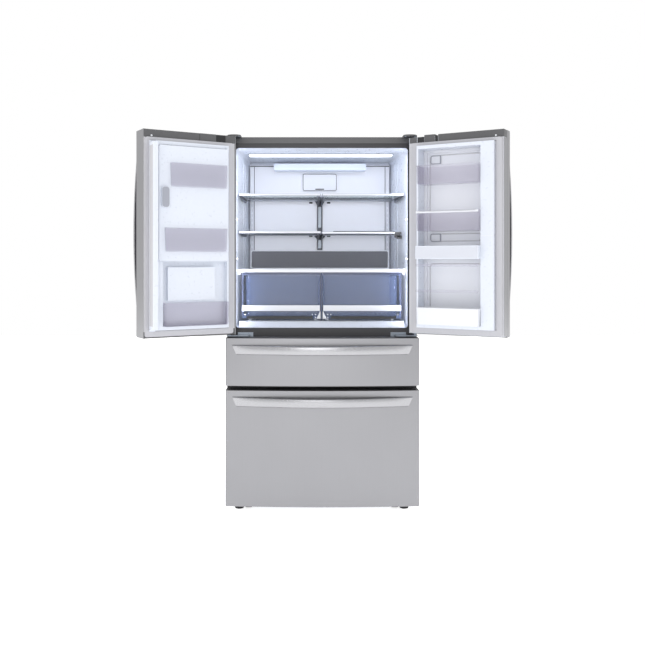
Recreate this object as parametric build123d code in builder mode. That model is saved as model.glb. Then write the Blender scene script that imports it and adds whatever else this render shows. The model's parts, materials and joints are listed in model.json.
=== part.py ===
"""French door refrigerator: two upper doors, the right one with a second door in front of its bins,
a shallow middle drawer and a deep freezer drawer.

Every piece is drawn with the doors shut and the drawers in.  The cabinet's front flange is the
plane y = face, +Z is up, the floor is z = 0 and the front looks towards -Y.  The pieces of the two
doors are turned about their hinge pins to the open rest pose as they are written.
"""
import os
from math import cos, radians, sin, sqrt

from build123d import *

# ---------------------------------------------------------------- driving sizes, millimetres
width = 908.0
case_depth = 610.0
case_bottom = 55.0
case_top = 1757.0
sheet = 1.2  # steel of the case, base and rear
frame_thickness = 4.0  # front flange frame
door_open = 150.0  # degrees, the doors' rest pose and stop

# front panels: the same shallow arc runs across both doors and both drawers
panel_gap = 12.0  # closed gap between flange and panel, filled by the gasket
panel_edge = 82.0  # panel thickness at the cabinet's side
bulge = 20.0  # how much further the arc stands out at the middle
skin = 1.0
hem = 7.0  # rear lip of the skin
panel_corner = 9.0  # outside radius of the skin's upright edges
centre_gap = 6.0  # between the two doors
fit_gap = 0.2  # between the skin and what it is folded round

door_bottom, door_top = 848.0, 1780.0
middle_bottom, middle_top = 610.0, 832.0
freezer_bottom, freezer_top = 47.0, 588.0
top_cap, bottom_cap = 36.0, 30.0

# hinge pins, from the cabinet's side and from the door's rear plane
pin_inset = 15.4
pin_forward = 36.0
pin_radius = 5.0
pin_clearance = 0.08
pin_length = 30.0

# gaskets and the raised liner behind each door
gasket_width = 26.0
gasket_slack = 0.4
gasket_hinge, gasket_free = 17.0, 5.0  # from the door's two sides
gasket_low, gasket_high = 855.0, 1755.0
dike_low, dike_high = 885.0, 1727.0
dike_outer = 404.0
dike_reach = 18.0  # behind the flange plane
dike_wall = 16.0
dike_hinge_wall = 8.0
left_dike_edge, left_dike_inner = -50.0, -84.0
right_dike_edge, right_dike_inner = 40.0, 100.0

# refrigerator compartment
wall = 3.0  # liner thickness
opening_half = 412.0
opening_low, opening_high = 873.0, 1735.0
liner_depth = 500.0
liner_taper = 34.0  # each side wall closes in by this much at the rear
ceiling_drop = 12.0
liner_corner = 14.0
foam_clearance = 0.5

# drawer compartments
drawer_half = 398.0
middle_low, middle_high = 634.0, 816.0
freezer_low, freezer_high = 88.0, 572.0
drawer_depth = 480.0
step_height = 330.0  # below this the freezer is shallower, in front of the machine compartment
step_depth = 335.0

# machine compartment at the rear of the base
machine_high = 300.0
machine_front = 372.0

# freezer tray, running on ledges of the liner
tray_rim = 511.0
ledge_width = 5.0

# shelves
shelf_front = 66.0
shelf_rear = 447.0
shelf_levels = (1517.0, 1334.0)
shelf_thickness = 10.0
short_shelf_front = 144.0  # the lower right shelf is less deep
short_shelf_gap = 22.0
cover_thickness = 16.0  # of the crispers' cover
shelf_wall_gap = 5.0
shelf_middle_gap = 3.0
shelf_border = 16.0
glass = 4.0
duct_front = 455.0

# crispers
crisper_floor = 912.0
crisper_top = 1120.0
crisper_half = 370.0
crisper_middle_gap = 5.0
crisper_front, crisper_rear = 64.0, 440.0
crisper_lid = 1138.0
sill_half, sill_top = 396.0, 904.0  # sloping sill in front of the crispers

# bins of the doors
bin_wall = 2.5
bin_reach = 52.0  # how far the bins stand behind the flange plane

# ice room on the left door
ice_low, ice_high = 1190.0, 1710.0
ice_front = -88.0
ice_wall = 12.0
ice_door_front, ice_door_rear = 18.8, 31.0
ice_pivot_inset = 5.0
ice_pin_radius = 2.5

# dispenser in the left door
dispenser_x = (-305.0, -125.0)
dispenser_z = (935.0, 1335.0)
niche_top = 1165.0
niche_rear = -42.0
dispenser_rear = -36.0
panel_rear_y = -92.0
dispenser_proud = 2.0
paddle_pivot = (-66.0, 1150.0)

# folding mullion on the left door
flap_left, flap_right = -36.0, 24.0
flap_thickness = 24.0
flap_pivot = 6.0  # in from the flap's left edge and from its front face
flap_low, flap_high = 890.0, 1718.0
flap_pin_radius = 3.0

# second door on the right: the outer door closes on the bin frame
outer_rear = -62.0
bin_frame_front = -58.0
bin_frame_side = 13.4  # from the hinge axis
bin_frame_corner = 9.9
bin_frame_low, bin_frame_high = 856.0, 1771.0

# handles
handle_depth = 13.0
handle_width = 36.0
drawer_handle_height = 46.0
handle_standoff = 50.0
door_handle_standoff = 58.0
handle_inset = 31.0  # ends of a drawer handle from the cabinet's side
handle_foot = 26.0
middle_handle_top = 802.0
freezer_handle_top = 560.0
door_handle_low, door_handle_high = 915.0, 1722.0
door_handle_edge = 6.0  # from the door's free edge

# wheels and feet
roller_radius = 22.0
roller_width = 32.0
roller_x = 353.0
axle_radius = 4.0
axle_clearance = 0.06
foot_x = 398.0
foot_radius = 22.0
foot_front = 40.0
front_roller_lift = 1.0

# ---------------------------------------------------------------- places worked out from them
half = width / 2
inner_half = half - sheet
door_edge = centre_gap / 2
panel_rear = -panel_gap
arc_front = -(panel_gap + panel_edge + bulge)
arc_radius = (half**2 + bulge**2) / (2 * bulge)
cover_top = door_top + 1.0
hinge_cover_top = door_top + 11.0
band_top = hinge_cover_top - 3.0
hinge_x = half - pin_inset
hinge_y = panel_rear - pin_forward
bore_radius = pin_radius + pin_clearance
flap_pivot_x = flap_left + flap_pivot
flap_tip = flap_right - flap_pivot_x + flap_pivot
rear_trim = 3.0  # how far the rear panel's ribs stand out
swing = radians(180 - door_open)

# The foremost point of the open doors is the tip of the folded mullion; the origin lies midway
# between it and the rear.
tip_along = hinge_x + flap_pivot_x + flap_pivot
front_reach = -hinge_y + tip_along * sin(swing) + (flap_tip - hinge_y) * cos(swing)
face = -(case_depth + rear_trim - front_reach) / 2

left_pin = Axis((-hinge_x, face + hinge_y, 0), (0, 0, 1))
right_pin = Axis((hinge_x, face + hinge_y, 0), (0, 0, 1))
flap_pin = Axis((flap_pivot_x, face + flap_pivot, 0), (0, 0, 1))

os.makedirs("parts", exist_ok=True)


def contour(x, inset=0.0):
    """y of the panels' curved front at x, measured from the flange plane."""
    return arc_front + arc_radius - sqrt((arc_radius - inset) ** 2 - x**2)


def block(x, y, z, mode=Mode.ADD):
    """Box between low and high values; y is measured from the flange plane."""
    with Locations(((x[0] + x[1]) / 2, face + (y[0] + y[1]) / 2, (z[0] + z[1]) / 2)):
        return Box(abs(x[1] - x[0]), abs(y[1] - y[0]), abs(z[1] - z[0]), mode=mode)


def mirrored(side, low, high):
    """Values low to high on the given side of the middle, in rising order."""
    return tuple(sorted((side * low, side * high)))


def upright(x, y, z, radius, mode=Mode.ADD):
    """Vertical cylinder; y is measured from the flange plane."""
    with Locations((x, face + y, (z[0] + z[1]) / 2)):
        return Cylinder(radius, z[1] - z[0], mode=mode)


def crosswise(x, y, z, radius, mode=Mode.ADD):
    """Cylinder along X; y is measured from the flange plane."""
    with Locations(((x[0] + x[1]) / 2, face + y, z)):
        return Cylinder(radius, x[1] - x[0], rotation=(0, 90, 0), mode=mode)


def tub(x, y, z, thickness, floor=None):
    """Open-topped bin."""
    block(x, y, z)
    inside = (z[0] + (floor or thickness), z[1] + 1)
    block((x[0] + thickness, x[1] - thickness), (y[0] + thickness, y[1] - thickness), inside, Mode.SUBTRACT)


def ring(x, y, z, border):
    """Upright rectangular frame; border gives the widths at x low, x high, z low and z high."""
    with BuildPart(mode=Mode.PRIVATE) as band:
        block(x, y, z)
        across = (x[0] + border[0], x[1] - border[1])
        block(across, (y[0] - 1, y[1] + 1), (z[0] + border[2], z[1] - border[3]), Mode.SUBTRACT)
    add(band.part)


def wall_plane(y):
    """Upright plane facing the front."""
    return Plane.XZ.offset(-(face + y))


def front_prism(x, rear, z, inset=0.0, corner=0.0):
    """Solid from a rear plane to the curved front, inset from the front and the sides."""
    low, high = x[0] + inset, x[1] - inset
    left, middle, right = [(at, face + contour(at, inset)) for at in (low, (low + high) / 2, high)]
    with BuildPart(mode=Mode.PRIVATE) as prism:
        with BuildSketch(Plane.XY.offset(z[0])):
            with BuildLine():
                Polyline(left, (low, face + rear), (high, face + rear), right)
                ThreePointArc(right, middle, left)
            make_face()
        extrude(amount=z[1] - z[0])
        if corner:
            fillet(prism.edges().filter_by(Axis.Z).sort_by(Axis.Y)[:2], corner)
    return prism.part


def cavity(rear, grow=0.0):
    """Inside of the refrigerator liner, closing in towards the rear; grown for its outside."""
    with BuildPart(mode=Mode.PRIVATE) as hollow:
        for y, narrow, drop in ((frame_thickness, 0.0, 0.0), (rear, liner_taper, ceiling_drop)):
            with BuildSketch(wall_plane(y)):
                with Locations((0, (opening_low + opening_high - drop) / 2)):
                    RectangleRounded(
                        2 * (opening_half - narrow + grow),
                        opening_high - opening_low - drop + 2 * grow,
                        liner_corner + grow,
                    )
        loft(ruled=True)
    return hollow.part


def liner_half(y):
    """Half width inside the refrigerator liner at depth y."""
    return opening_half - liner_taper * (y - frame_thickness) / (liner_depth - frame_thickness)


def flared(side, inner, y, outer_gap, z, mode=Mode.ADD):
    """Plate from x = inner to the liner's slanted side wall, stopping short of it by outer_gap."""
    near, far = liner_half(y[0]) - outer_gap, liner_half(y[1]) - outer_gap
    inside = (inner, inner) if inner >= 0 else (near + inner, far + inner)
    outline = [(inside[0], y[0]), (near, y[0]), (far, y[1]), (inside[1], y[1])]
    with BuildPart(mode=Mode.PRIVATE) as plate:
        with BuildSketch(Plane.XY.offset(z[0])):
            with BuildLine():
                Polyline(*[(side * px, face + py) for px, py in outline], close=True)
            make_face()
        extrude(amount=z[1] - z[0])
    add(plate.part, mode=mode)


def save(part, label, pin=None):
    """Writes one piece; a door's piece is first turned about its pin to the open rest pose."""
    if pin is not None:
        part = part.rotate(pin, -door_open if pin is left_pin else door_open)
    part.label = label
    export_step(part, f"parts/{label}.step")


# ================================================================ cabinet shell
with BuildPart() as outer_case:
    block((-half, half), (frame_thickness, case_depth), (case_bottom, case_top))
    inside = ((-inner_half, inner_half), (0, case_depth + 1), (case_bottom - 1, case_top - sheet))
    block(*inside, Mode.SUBTRACT)
save(outer_case.part, "outer_case")

with BuildPart() as front_frame:
    block((-half, half), (0, frame_thickness), (case_bottom, case_top))
    openings = (
        (opening_half, opening_low, opening_high),
        (drawer_half, middle_low, middle_high),
        (drawer_half, freezer_low, freezer_high),
    )
    for reach, low, high in openings:
        block((-reach, reach), (-1, frame_thickness + 1), (low, high), Mode.SUBTRACT)
    inside_corners = front_frame.edges().filter_by(Axis.Y).sort_by(lambda e: abs(e.center().X))[:12]
    fillet(inside_corners, liner_corner)
save(front_frame.part, "front_frame")

with BuildPart() as rear_panel:
    rear_low = machine_high + 2.0
    block((-inner_half, inner_half), (case_depth - sheet, case_depth), (rear_low, case_top - sheet))
    for x in (-250, 0, 250):
        rib_z = (rear_low + 90, case_top - 130)
        block((x - 60, x + 60), (case_depth, case_depth + rear_trim), rib_z)
save(rear_panel.part, "rear_panel")

with BuildPart() as machine_cover:
    cover_z = (case_bottom + 4, machine_high)
    block((-inner_half, inner_half), (case_depth - sheet, case_depth), cover_z)
    for x, reach in ((-300, 90), (300, 90), (0, 110)):
        for row in range(9):
            z = case_bottom + 50 + 20 * row
            slot = ((x - reach, x + reach), (case_depth - 5, case_depth + 5), (z, z + 8))
            block(*slot, Mode.SUBTRACT)
save(machine_cover.part, "machine_cover")

# base tray with the machine compartment's wall and the brackets of rollers and feet
axle_z = {"front": roller_radius + front_roller_lift, "rear": roller_radius}
axle_y = {"front": foot_front + 5.0, "rear": case_depth - 62.0}
bracket_plate = 3.0
bracket_gap = 1.0
tray_top = case_bottom + 3.0
with BuildPart() as base_frame:
    block((-inner_half, inner_half), (frame_thickness, case_depth - sheet), (case_bottom, tray_top))
    block((-inner_half, inner_half), (machine_front - sheet, machine_front), (tray_top, machine_high + sheet))
    block(
        (-inner_half, inner_half), (machine_front, case_depth - sheet), (machine_high, machine_high + sheet)
    )
    for end in ("front", "rear"):
        for side in (-1, 1):
            for edge in (-1, 1):
                near = side * roller_x + edge * (roller_width / 2 + bracket_gap)
                across = tuple(sorted((near, near + edge * bracket_plate)))
                block(across, (axle_y[end] - 20, axle_y[end] + 20), (axle_z[end] - 9, case_bottom))
            reach = roller_width / 2 + bracket_gap + bracket_plate
            span = (side * roller_x - reach, side * roller_x + reach)
            crosswise(span, axle_y[end], axle_z[end], axle_radius)
    for side in (-1, 1):
        upright(side * foot_x, foot_front, (case_bottom - 16, case_bottom), 11)
        upright(side * foot_x, foot_front, (case_bottom - 20, case_bottom + 10), 5.0, Mode.SUBTRACT)
save(base_frame.part, "base_frame")

with BuildPart() as leveling_feet:
    for side in (-1, 1):
        upright(side * foot_x, foot_front, (0, 12), foot_radius)
    fillet(leveling_feet.edges().group_by(Axis.Z)[-1], 3.0)
    fillet(leveling_feet.edges().group_by(Axis.Z)[0], 4.0)
    for side in (-1, 1):
        upright(side * foot_x, foot_front, (12, 22), 9.0)
        upright(side * foot_x, foot_front, (22, case_bottom + 2), 5.0)
save(leveling_feet.part, "leveling_feet")

for end in ("front", "rear"):
    with BuildPart() as rollers:
        for side in (-1, 1):
            centre = side * roller_x
            span = (centre - roller_width / 2, centre + roller_width / 2)
            crosswise(span, axle_y[end], axle_z[end], roller_radius)
        fillet(rollers.edges().filter_by(GeomType.CIRCLE), 2.5)
        for side in (-1, 1):
            span = (side * roller_x - roller_width, side * roller_x + roller_width)
            crosswise(span, axle_y[end], axle_z[end], axle_radius + axle_clearance, Mode.SUBTRACT)
    save(rollers.part, f"{end}_rollers")

with BuildPart() as compressor:
    block((-290, -90), (420, 560), (tray_top, tray_top + 8))
    upright(-190, 490, (tray_top + 8, 235), 80)
    fillet(compressor.edges().group_by(Axis.Z)[-1], 30)
save(compressor.part, "compressor")

# ================================================================ liners
with BuildPart() as sill:
    with BuildSketch(Plane.YZ.offset(-sill_half)):
        with BuildLine():
            rear, low = crisper_front - 1, opening_low - 1
            slope = [(frame_thickness + 2, low), (52, sill_top - 4), (60, sill_top), (rear, sill_top), (rear, low)]
            Polyline(*[(face + py, pz) for py, pz in slope], close=True)
        make_face()
    extrude(amount=2 * sill_half)

with BuildPart() as fridge_liner:
    add(cavity(liner_depth + wall, wall))
    add(cavity(liner_depth), mode=Mode.SUBTRACT)
    add(sill.part)
    for side in (-1, 1):
        for inner in (24.0, 340.0):
            across = mirrored(side, inner, inner + 10)
            block(across, (crisper_front + 8, crisper_rear), (opening_low - 1, crisper_floor - 0.6))
        flared(side, -12.0, (crisper_front + 16, 430.0), -1.5, (crisper_lid - 12, crisper_lid))
save(fridge_liner.part, "fridge_liner")

with BuildPart() as drawer_liner:
    outside = (-drawer_half - wall, drawer_half + wall)
    depth = (frame_thickness, drawer_depth + wall)
    block(outside, depth, (middle_low - wall, middle_high + wall))
    fillet(drawer_liner.edges().filter_by(Axis.Y), liner_corner + wall)
    with BuildSketch(wall_plane(frame_thickness)):
        with Locations((0, (middle_low + middle_high) / 2)):
            RectangleRounded(2 * drawer_half, middle_high - middle_low, liner_corner)
    extrude(amount=-(drawer_depth - frame_thickness), mode=Mode.SUBTRACT)
save(drawer_liner.part, "drawer_liner")

with BuildPart() as freezer_liner:
    block(outside, depth, (freezer_low - wall, freezer_high + wall))
    fillet(freezer_liner.edges().filter_by(Axis.Y), liner_corner + wall)
    with BuildSketch(wall_plane(frame_thickness)):
        with Locations((0, (freezer_low + freezer_high) / 2)):
            RectangleRounded(2 * drawer_half, freezer_high - freezer_low, liner_corner)
    extrude(amount=-(drawer_depth - frame_thickness), mode=Mode.SUBTRACT)
    inside = (-drawer_half, drawer_half)
    block(outside, (step_depth, drawer_depth + wall), (freezer_low - wall, step_height))
    hollow = ((step_depth + wall, drawer_depth + wall + 1), (freezer_low - wall - 1, step_height - wall))
    block((-half, half), *hollow, Mode.SUBTRACT)
    for side in (-1, 1):
        ledge = mirrored(side, drawer_half - ledge_width, drawer_half + 1)
        block(ledge, (10, 470), (tray_rim - 11, tray_rim))
save(freezer_liner.part, "freezer_liner")

with BuildPart() as foam_insulation:
    block(
        (-inner_half, inner_half), (frame_thickness, case_depth - sheet), (tray_top, case_top - sheet)
    )
    add(cavity(liner_depth + wall + foam_clearance, wall + foam_clearance), mode=Mode.SUBTRACT)
    behind = (machine_front - sheet, case_depth + 10)
    block((-width, width), behind, (0, machine_high + sheet), Mode.SUBTRACT)
    clear = wall + foam_clearance
    sides = (-drawer_half - clear, drawer_half + clear)
    block(sides, (0, drawer_depth + clear), (middle_low - clear, middle_high + clear), Mode.SUBTRACT)
    block(sides, (0, drawer_depth + clear), (step_height - clear, freezer_high + clear), Mode.SUBTRACT)
    block(sides, (0, step_depth + clear), (freezer_low - clear, step_height + 10), Mode.SUBTRACT)
    for side in (-1, 1):
        upright(side * foot_x, foot_front, (case_bottom, case_bottom + 10), 6.0, Mode.SUBTRACT)
save(foam_insulation.part, "foam_insulation")

# ================================================================ top cover and hinges
with BuildPart() as top_cover:
    block((-half, half), (0, 120), (case_top, band_top))
    for side in (-1, 1):
        block(mirrored(side, 384, 450), (-64, 96), (cover_top, hinge_cover_top))
        block(mirrored(side, 386.5, 447.5), (-61.5, 93.5), (cover_top, hinge_cover_top - 2.5), Mode.SUBTRACT)
    block((-half + 2.5, half - 2.5), (2.5, 117.5), (case_top - 1, band_top - 2.5), Mode.SUBTRACT)
save(top_cover.part, "top_cover")

with BuildPart() as top_hinges:
    for side in (-1, 1):
        block(mirrored(side, 388, 446), (-60, 92), (cover_top, cover_top + 3))
    fillet(top_hinges.edges().filter_by(Axis.Z), 8)
    for side in (-1, 1):
        block(mirrored(side, 396, 440), (16, 84), (case_top, cover_top))
    for side in (-1, 1):
        upright(side * hinge_x, hinge_y, (cover_top - pin_length, cover_top), pin_radius)
save(top_hinges.part, "top_hinges")

arm_z = (838.0, 842.0)
with BuildPart() as mid_hinges:
    for side in (-1, 1):
        block(mirrored(side, 345, 402), (-60, 0), arm_z)
        block(mirrored(side, 402, 450), (-60, -34), arm_z)
    fillet(mid_hinges.edges().filter_by(Axis.Z), 6)
    for side in (-1, 1):
        block(mirrored(side, 329, 402), (-4, 0), (828, 852))
        upright(side * hinge_x, hinge_y, (arm_z[1], arm_z[1] + pin_length), pin_radius)
save(mid_hinges.part, "mid_hinges")

# ================================================================ fittings of the refrigerator
with BuildPart() as duct_panel:
    block((-374, 374), (duct_front, liner_depth), (905, 1705))
    fillet(duct_panel.edges().filter_by(Axis.Z).group_by(Axis.Y)[0], 6)
save(duct_panel.part, "duct_panel")

with BuildPart() as filter_cover:
    block((-92, 92), (duct_front - 8, duct_front), (1567, 1661))
    fillet(filter_cover.edges().filter_by(Axis.Y), 6)
save(filter_cover.part, "filter_cover")

with BuildPart() as ceiling_light:
    block((-242, 242), (380, duct_front), (1671, 1705))
    fillet(ceiling_light.edges().filter_by(Axis.Y), 8)
save(ceiling_light.part, "ceiling_light")

with BuildPart() as shelf_ladders:
    for x in ((-14, 14), (-370, -352), (352, 370)):
        block(x, (shelf_rear, duct_front), (1250, 1535))
    for level in shelf_levels:
        top = level - shelf_thickness / 2
        for low, high in ((6, 13), (356, 364)):
            for side in (-1, 1):
                block(mirrored(side, low, high), (170, shelf_rear), (top - 24, top))
save(shelf_ladders.part, "shelf_ladders")

# each shelf: centre height, side, front and gap to the liner's side wall
shelves = [(level, side, shelf_front, shelf_wall_gap) for level in shelf_levels for side in (-1, 1)]
shelves[-1] = (shelf_levels[-1], 1, short_shelf_front, short_shelf_gap)
with BuildPart() as shelf_frames:
    for level, side, front, gap in shelves:
        z = (level - shelf_thickness / 2, level + shelf_thickness / 2)
        flared(side, shelf_middle_gap, (front, shelf_rear), gap, z)
        flared(
            side,
            shelf_middle_gap + shelf_border,
            (front + shelf_border, shelf_rear - shelf_border),
            gap + shelf_border,
            (z[0] - 1, z[1] + 1),
            Mode.SUBTRACT,
        )
save(shelf_frames.part, "shelf_frames")

with BuildPart() as shelf_glass:
    cover_middle = crisper_lid + cover_thickness / 2
    covers = [(cover_middle, side, shelf_front, shelf_wall_gap) for side in (-1, 1)]
    for level, side, front, gap in (*shelves, *covers):
        flared(
            side,
            shelf_middle_gap + shelf_border,
            (front + shelf_border, shelf_rear - shelf_border),
            gap + shelf_border,
            (level - glass / 2, level + glass / 2),
        )
save(shelf_glass.part, "shelf_glass")

with BuildPart() as crisper_cover:
    z = (crisper_lid, crisper_lid + cover_thickness)
    for side in (-1, 1):
        flared(side, 0.0, (shelf_front, shelf_rear + 8), 1.0, z)
    for side in (-1, 1):
        flared(
            side,
            shelf_middle_gap + shelf_border,
            (shelf_front + shelf_border, shelf_rear - shelf_border),
            shelf_wall_gap + shelf_border,
            (z[0] - 1, z[1] + 1),
            Mode.SUBTRACT,
        )
    block((-2, 2), (crisper_front + 12, crisper_rear), (opening_low, crisper_lid))
save(crisper_cover.part, "crisper_cover")

for side, label in ((-1, "crisper_left"), (1, "crisper_right")):
    with BuildPart() as crisper:
        across = mirrored(side, crisper_middle_gap, crisper_half)
        tub(across, (crisper_front, crisper_rear), (crisper_floor, crisper_top), 3.0)
        trim = mirrored(side, crisper_middle_gap, 388.0)
        block(trim, (crisper_front - 6, crisper_front), (crisper_floor, crisper_top + 12))
    save(crisper.part, label)

with BuildPart() as drawer_slides:
    for side in (-1, 1):
        for low in (680.0, 380.0):
            block(mirrored(side, drawer_half - 3.5, drawer_half), (8, 470), (low, low + 36))
save(drawer_slides.part, "drawer_slides")


# ================================================================ front panels
def panel_skin(x, z):
    """Bent steel front with hems behind its two upright edges."""
    with BuildPart(mode=Mode.PRIVATE) as wrap:
        add(front_prism(x, panel_rear, z, corner=panel_corner))
        hollow = front_prism(
            x, panel_rear - skin, (z[0] - 1, z[1] + 1), inset=skin, corner=panel_corner - skin
        )
        add(hollow, mode=Mode.SUBTRACT)
        block((x[0] + hem, x[1] - hem), (panel_rear - 5, panel_rear + 5), (z[0] - 1, z[1] + 1), Mode.SUBTRACT)
    return wrap.part


def panel_core(x, z, rear=None):
    """What fills the skin: flush with its hems behind, or ending at a given rear plane."""
    gap = skin + fit_gap
    with BuildPart(mode=Mode.PRIVATE) as core:
        back = (panel_rear - gap) if rear is None else rear
        add(front_prism(x, back, z, inset=gap, corner=panel_corner - gap))
        if rear is None:
            block((x[0] + hem + fit_gap, x[1] - hem - fit_gap), (panel_rear - gap - 1, panel_rear), z)
    return core.part


def drawer_handle(label, top):
    """Bowed bar with its ends growing out of the panel."""
    end = half - handle_inset
    outer = [(-end, contour(end) + 4), (0, arc_front - handle_standoff), (end, contour(end) + 4)]
    shift = handle_foot
    inner = [
        (-end + shift, contour(end) + 4),
        (0, arc_front - handle_standoff + handle_depth),
        (end - shift, contour(end) + 4),
    ]
    with BuildPart() as bar:
        with BuildSketch(Plane.XY.offset(top - drawer_handle_height)):
            with BuildLine():
                ThreePointArc(*[(px, face + py) for px, py in outer])
                Line((outer[2][0], face + outer[2][1]), (inner[2][0], face + inner[2][1]))
                ThreePointArc(*[(px, face + py) for px, py in reversed(inner)])
                Line((inner[0][0], face + inner[0][1]), (outer[0][0], face + outer[0][1]))
            make_face()
        extrude(amount=drawer_handle_height)
        panel = front_prism((-half, half), panel_rear, (top - 60, top + 20))
        add(panel, mode=Mode.SUBTRACT)
    save(bar.part, label)


def door_handle(label, side, pin):
    """Upright bowed bar near the door's free edge."""
    at = side * (door_edge + door_handle_edge)
    plane = Plane.YZ.offset(min(at, at + side * handle_width))
    middle = (door_handle_low + door_handle_high) / 2
    foot = contour(door_edge + door_handle_edge + handle_width) + 4
    crest = contour(at) - door_handle_standoff
    outer = [(foot, door_handle_low), (crest, middle), (foot, door_handle_high)]
    inner = [
        (foot, door_handle_low + handle_foot),
        (crest + handle_depth, middle),
        (foot, door_handle_high - handle_foot),
    ]
    with BuildPart() as bar:
        with BuildSketch(plane):
            with BuildLine():
                ThreePointArc(*[(face + py, pz) for py, pz in outer])
                Line((face + outer[2][0], outer[2][1]), (face + inner[2][0], inner[2][1]))
                ThreePointArc(*[(face + py, pz) for py, pz in reversed(inner)])
                Line((face + inner[0][0], inner[0][1]), (face + outer[0][0], outer[0][1]))
            make_face()
        extrude(amount=handle_width)
        panel = front_prism((-half, half), panel_rear, (door_bottom, door_top))
        add(panel, mode=Mode.SUBTRACT)
    save(bar.part, label, pin)


# ================================================================ drawers
drawers = (
    ("middle", (middle_bottom, middle_top), (middle_low, middle_high), middle_handle_top),
    ("freezer", (freezer_bottom, freezer_top), (freezer_low, freezer_high), freezer_handle_top),
)
for name, z, hole, handle_top in drawers:
    with BuildPart() as front:
        add(panel_skin((-half, half), z))
    save(front.part, f"{name}_front")
    with BuildPart() as core:
        add(panel_core((-half, half), z))
    save(core.part, f"{name}_core")
    with BuildPart() as gasket:
        reach = drawer_half + gasket_width + 1
        border = (gasket_width, gasket_width, 16, 10)
        span = (hole[0] - 17, hole[1] + 11)
        ring((-reach, reach), (panel_rear, -gasket_slack), span, border)
    save(gasket.part, f"{name}_gasket")
    drawer_handle(f"{name}_handle", handle_top)

rail = (drawer_half - 10.0, drawer_half - 4.0)
with BuildPart() as middle_bin:
    tub((-rail[0], rail[0]), (12, 440), (650, 786), 3.0)
    for side in (-1, 1):
        block(mirrored(side, *rail), (panel_rear, 450), (682, 714))
save(middle_bin.part, "middle_bin")

with BuildPart() as freezer_bin:
    tub((-rail[0], rail[0]), (12, 322), (104, 400), 3.0)
    for side in (-1, 1):
        block(mirrored(side, *rail), (panel_rear, 450), (382, 414))
save(freezer_bin.part, "freezer_bin")

with BuildPart() as freezer_tray:
    reach = drawer_half - ledge_width - 1.0
    tub((-reach, reach), (16, 430), (418, tray_rim + 9), 3.0)
    for side in (-1, 1):
        block(mirrored(side, reach, drawer_half - 1.5), (16, 430), (tray_rim + 0.5, tray_rim + 9))
save(freezer_tray.part, "freezer_tray")

# ================================================================ left door
left_x = (-half, -door_edge)
left_z = (door_bottom, door_top)
core_z = (door_bottom + bottom_cap, door_top - top_cap)
chute = (-215.0, -64.0, 20.0)

with BuildPart() as left_door_skin:
    add(panel_skin(left_x, left_z))
    block(dispenser_x, (-140, -70), dispenser_z, Mode.SUBTRACT)
save(left_door_skin.part, "left_door_skin", left_pin)

with BuildPart() as left_door_caps:
    for z in ((door_bottom, core_z[0]), (core_z[1], door_top)):
        add(panel_core(left_x, z))
    for z in ((door_bottom - 1, arm_z[1] + pin_length + 1), (cover_top - pin_length - 1, door_top + 1)):
        upright(-hinge_x, hinge_y, z, bore_radius, Mode.SUBTRACT)
save(left_door_caps.part, "left_door_caps", left_pin)

left_dike = (-dike_outer, left_dike_edge)
with BuildPart() as left_door_core:
    add(panel_core(left_x, core_z))
    border = (dike_hinge_wall, left_dike_edge - left_dike_inner, dike_wall, dike_wall)
    ring(left_dike, (panel_rear, dike_reach), (dike_low, dike_high), border)
    block((-340, -110), (panel_rear, 8), (1015, 1165))
    ice_room_x = (-dike_outer + dike_hinge_wall, left_dike_inner)
    block(ice_room_x, (ice_front, 40), (ice_low, ice_high), Mode.SUBTRACT)
    block(dispenser_x, (-140, panel_rear_y), dispenser_z, Mode.SUBTRACT)
    block(dispenser_x, (-140, dispenser_rear), (dispenser_z[0], niche_top + 13), Mode.SUBTRACT)
    upright(*chute[:2], (niche_top, ice_low + 1), chute[2], Mode.SUBTRACT)
    for z in ((flap_low - 9, flap_low - 1), (flap_high + 1, flap_high + 8)):
        block((left_dike_edge, flap_pivot_x + 6), (0.5, 12), z)
    for z in ((flap_low - 5, flap_low + 12), (flap_high - 12, flap_high + 5)):
        upright(flap_pivot_x, flap_pivot, z, flap_pin_radius)
save(left_door_core.part, "left_door_core", left_pin)

with BuildPart() as left_door_gasket:
    across = (-half + gasket_hinge, -door_edge - gasket_free)
    border = (gasket_width,) * 4
    ring(across, (panel_rear, -gasket_slack), (gasket_low, gasket_high), border)
save(left_door_gasket.part, "left_door_gasket", left_pin)

door_handle("left_door_handle", -1, left_pin)

with BuildPart() as left_door_bin:
    tub(ice_room_x, (panel_rear, bin_reach), (901, 1006), bin_wall)
save(left_door_bin.part, "left_door_bin", left_pin)

with BuildPart() as dispenser_housing:
    across = (dispenser_x[0] + dispenser_proud, dispenser_x[1] - dispenser_proud)
    add(front_prism(across, panel_rear_y, dispenser_z, inset=-dispenser_proud))
    block(dispenser_x, (panel_rear_y, dispenser_rear), (dispenser_z[0], niche_top + 13))
    niche = ((dispenser_x[0] + 13, dispenser_x[1] - 13), (-150, niche_rear), (dispenser_z[0] + 27, niche_top))
    block(*niche, Mode.SUBTRACT)
    upright(*chute[:2], (niche_top - 1, niche_top + 20), chute[2], Mode.SUBTRACT)
    for x in ((-250, -247), (-183, -180)):
        block(x, (paddle_pivot[0] - 6, paddle_pivot[0] + 6), (paddle_pivot[1] - 7, niche_top))
    crosswise((-250, -180), *paddle_pivot, 2.5)
save(dispenser_housing.part, "dispenser_housing", left_pin)

with BuildPart() as dispenser_paddle:
    crosswise((-244, -186), *paddle_pivot, 5.0)
    block((-240, -190), (paddle_pivot[0] - 2, paddle_pivot[0] + 2), (1040, paddle_pivot[1]))
    crosswise((-250, -180), *paddle_pivot, 2.5 + axle_clearance, Mode.SUBTRACT)
save(dispenser_paddle.part, "dispenser_paddle", left_pin)

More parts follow.
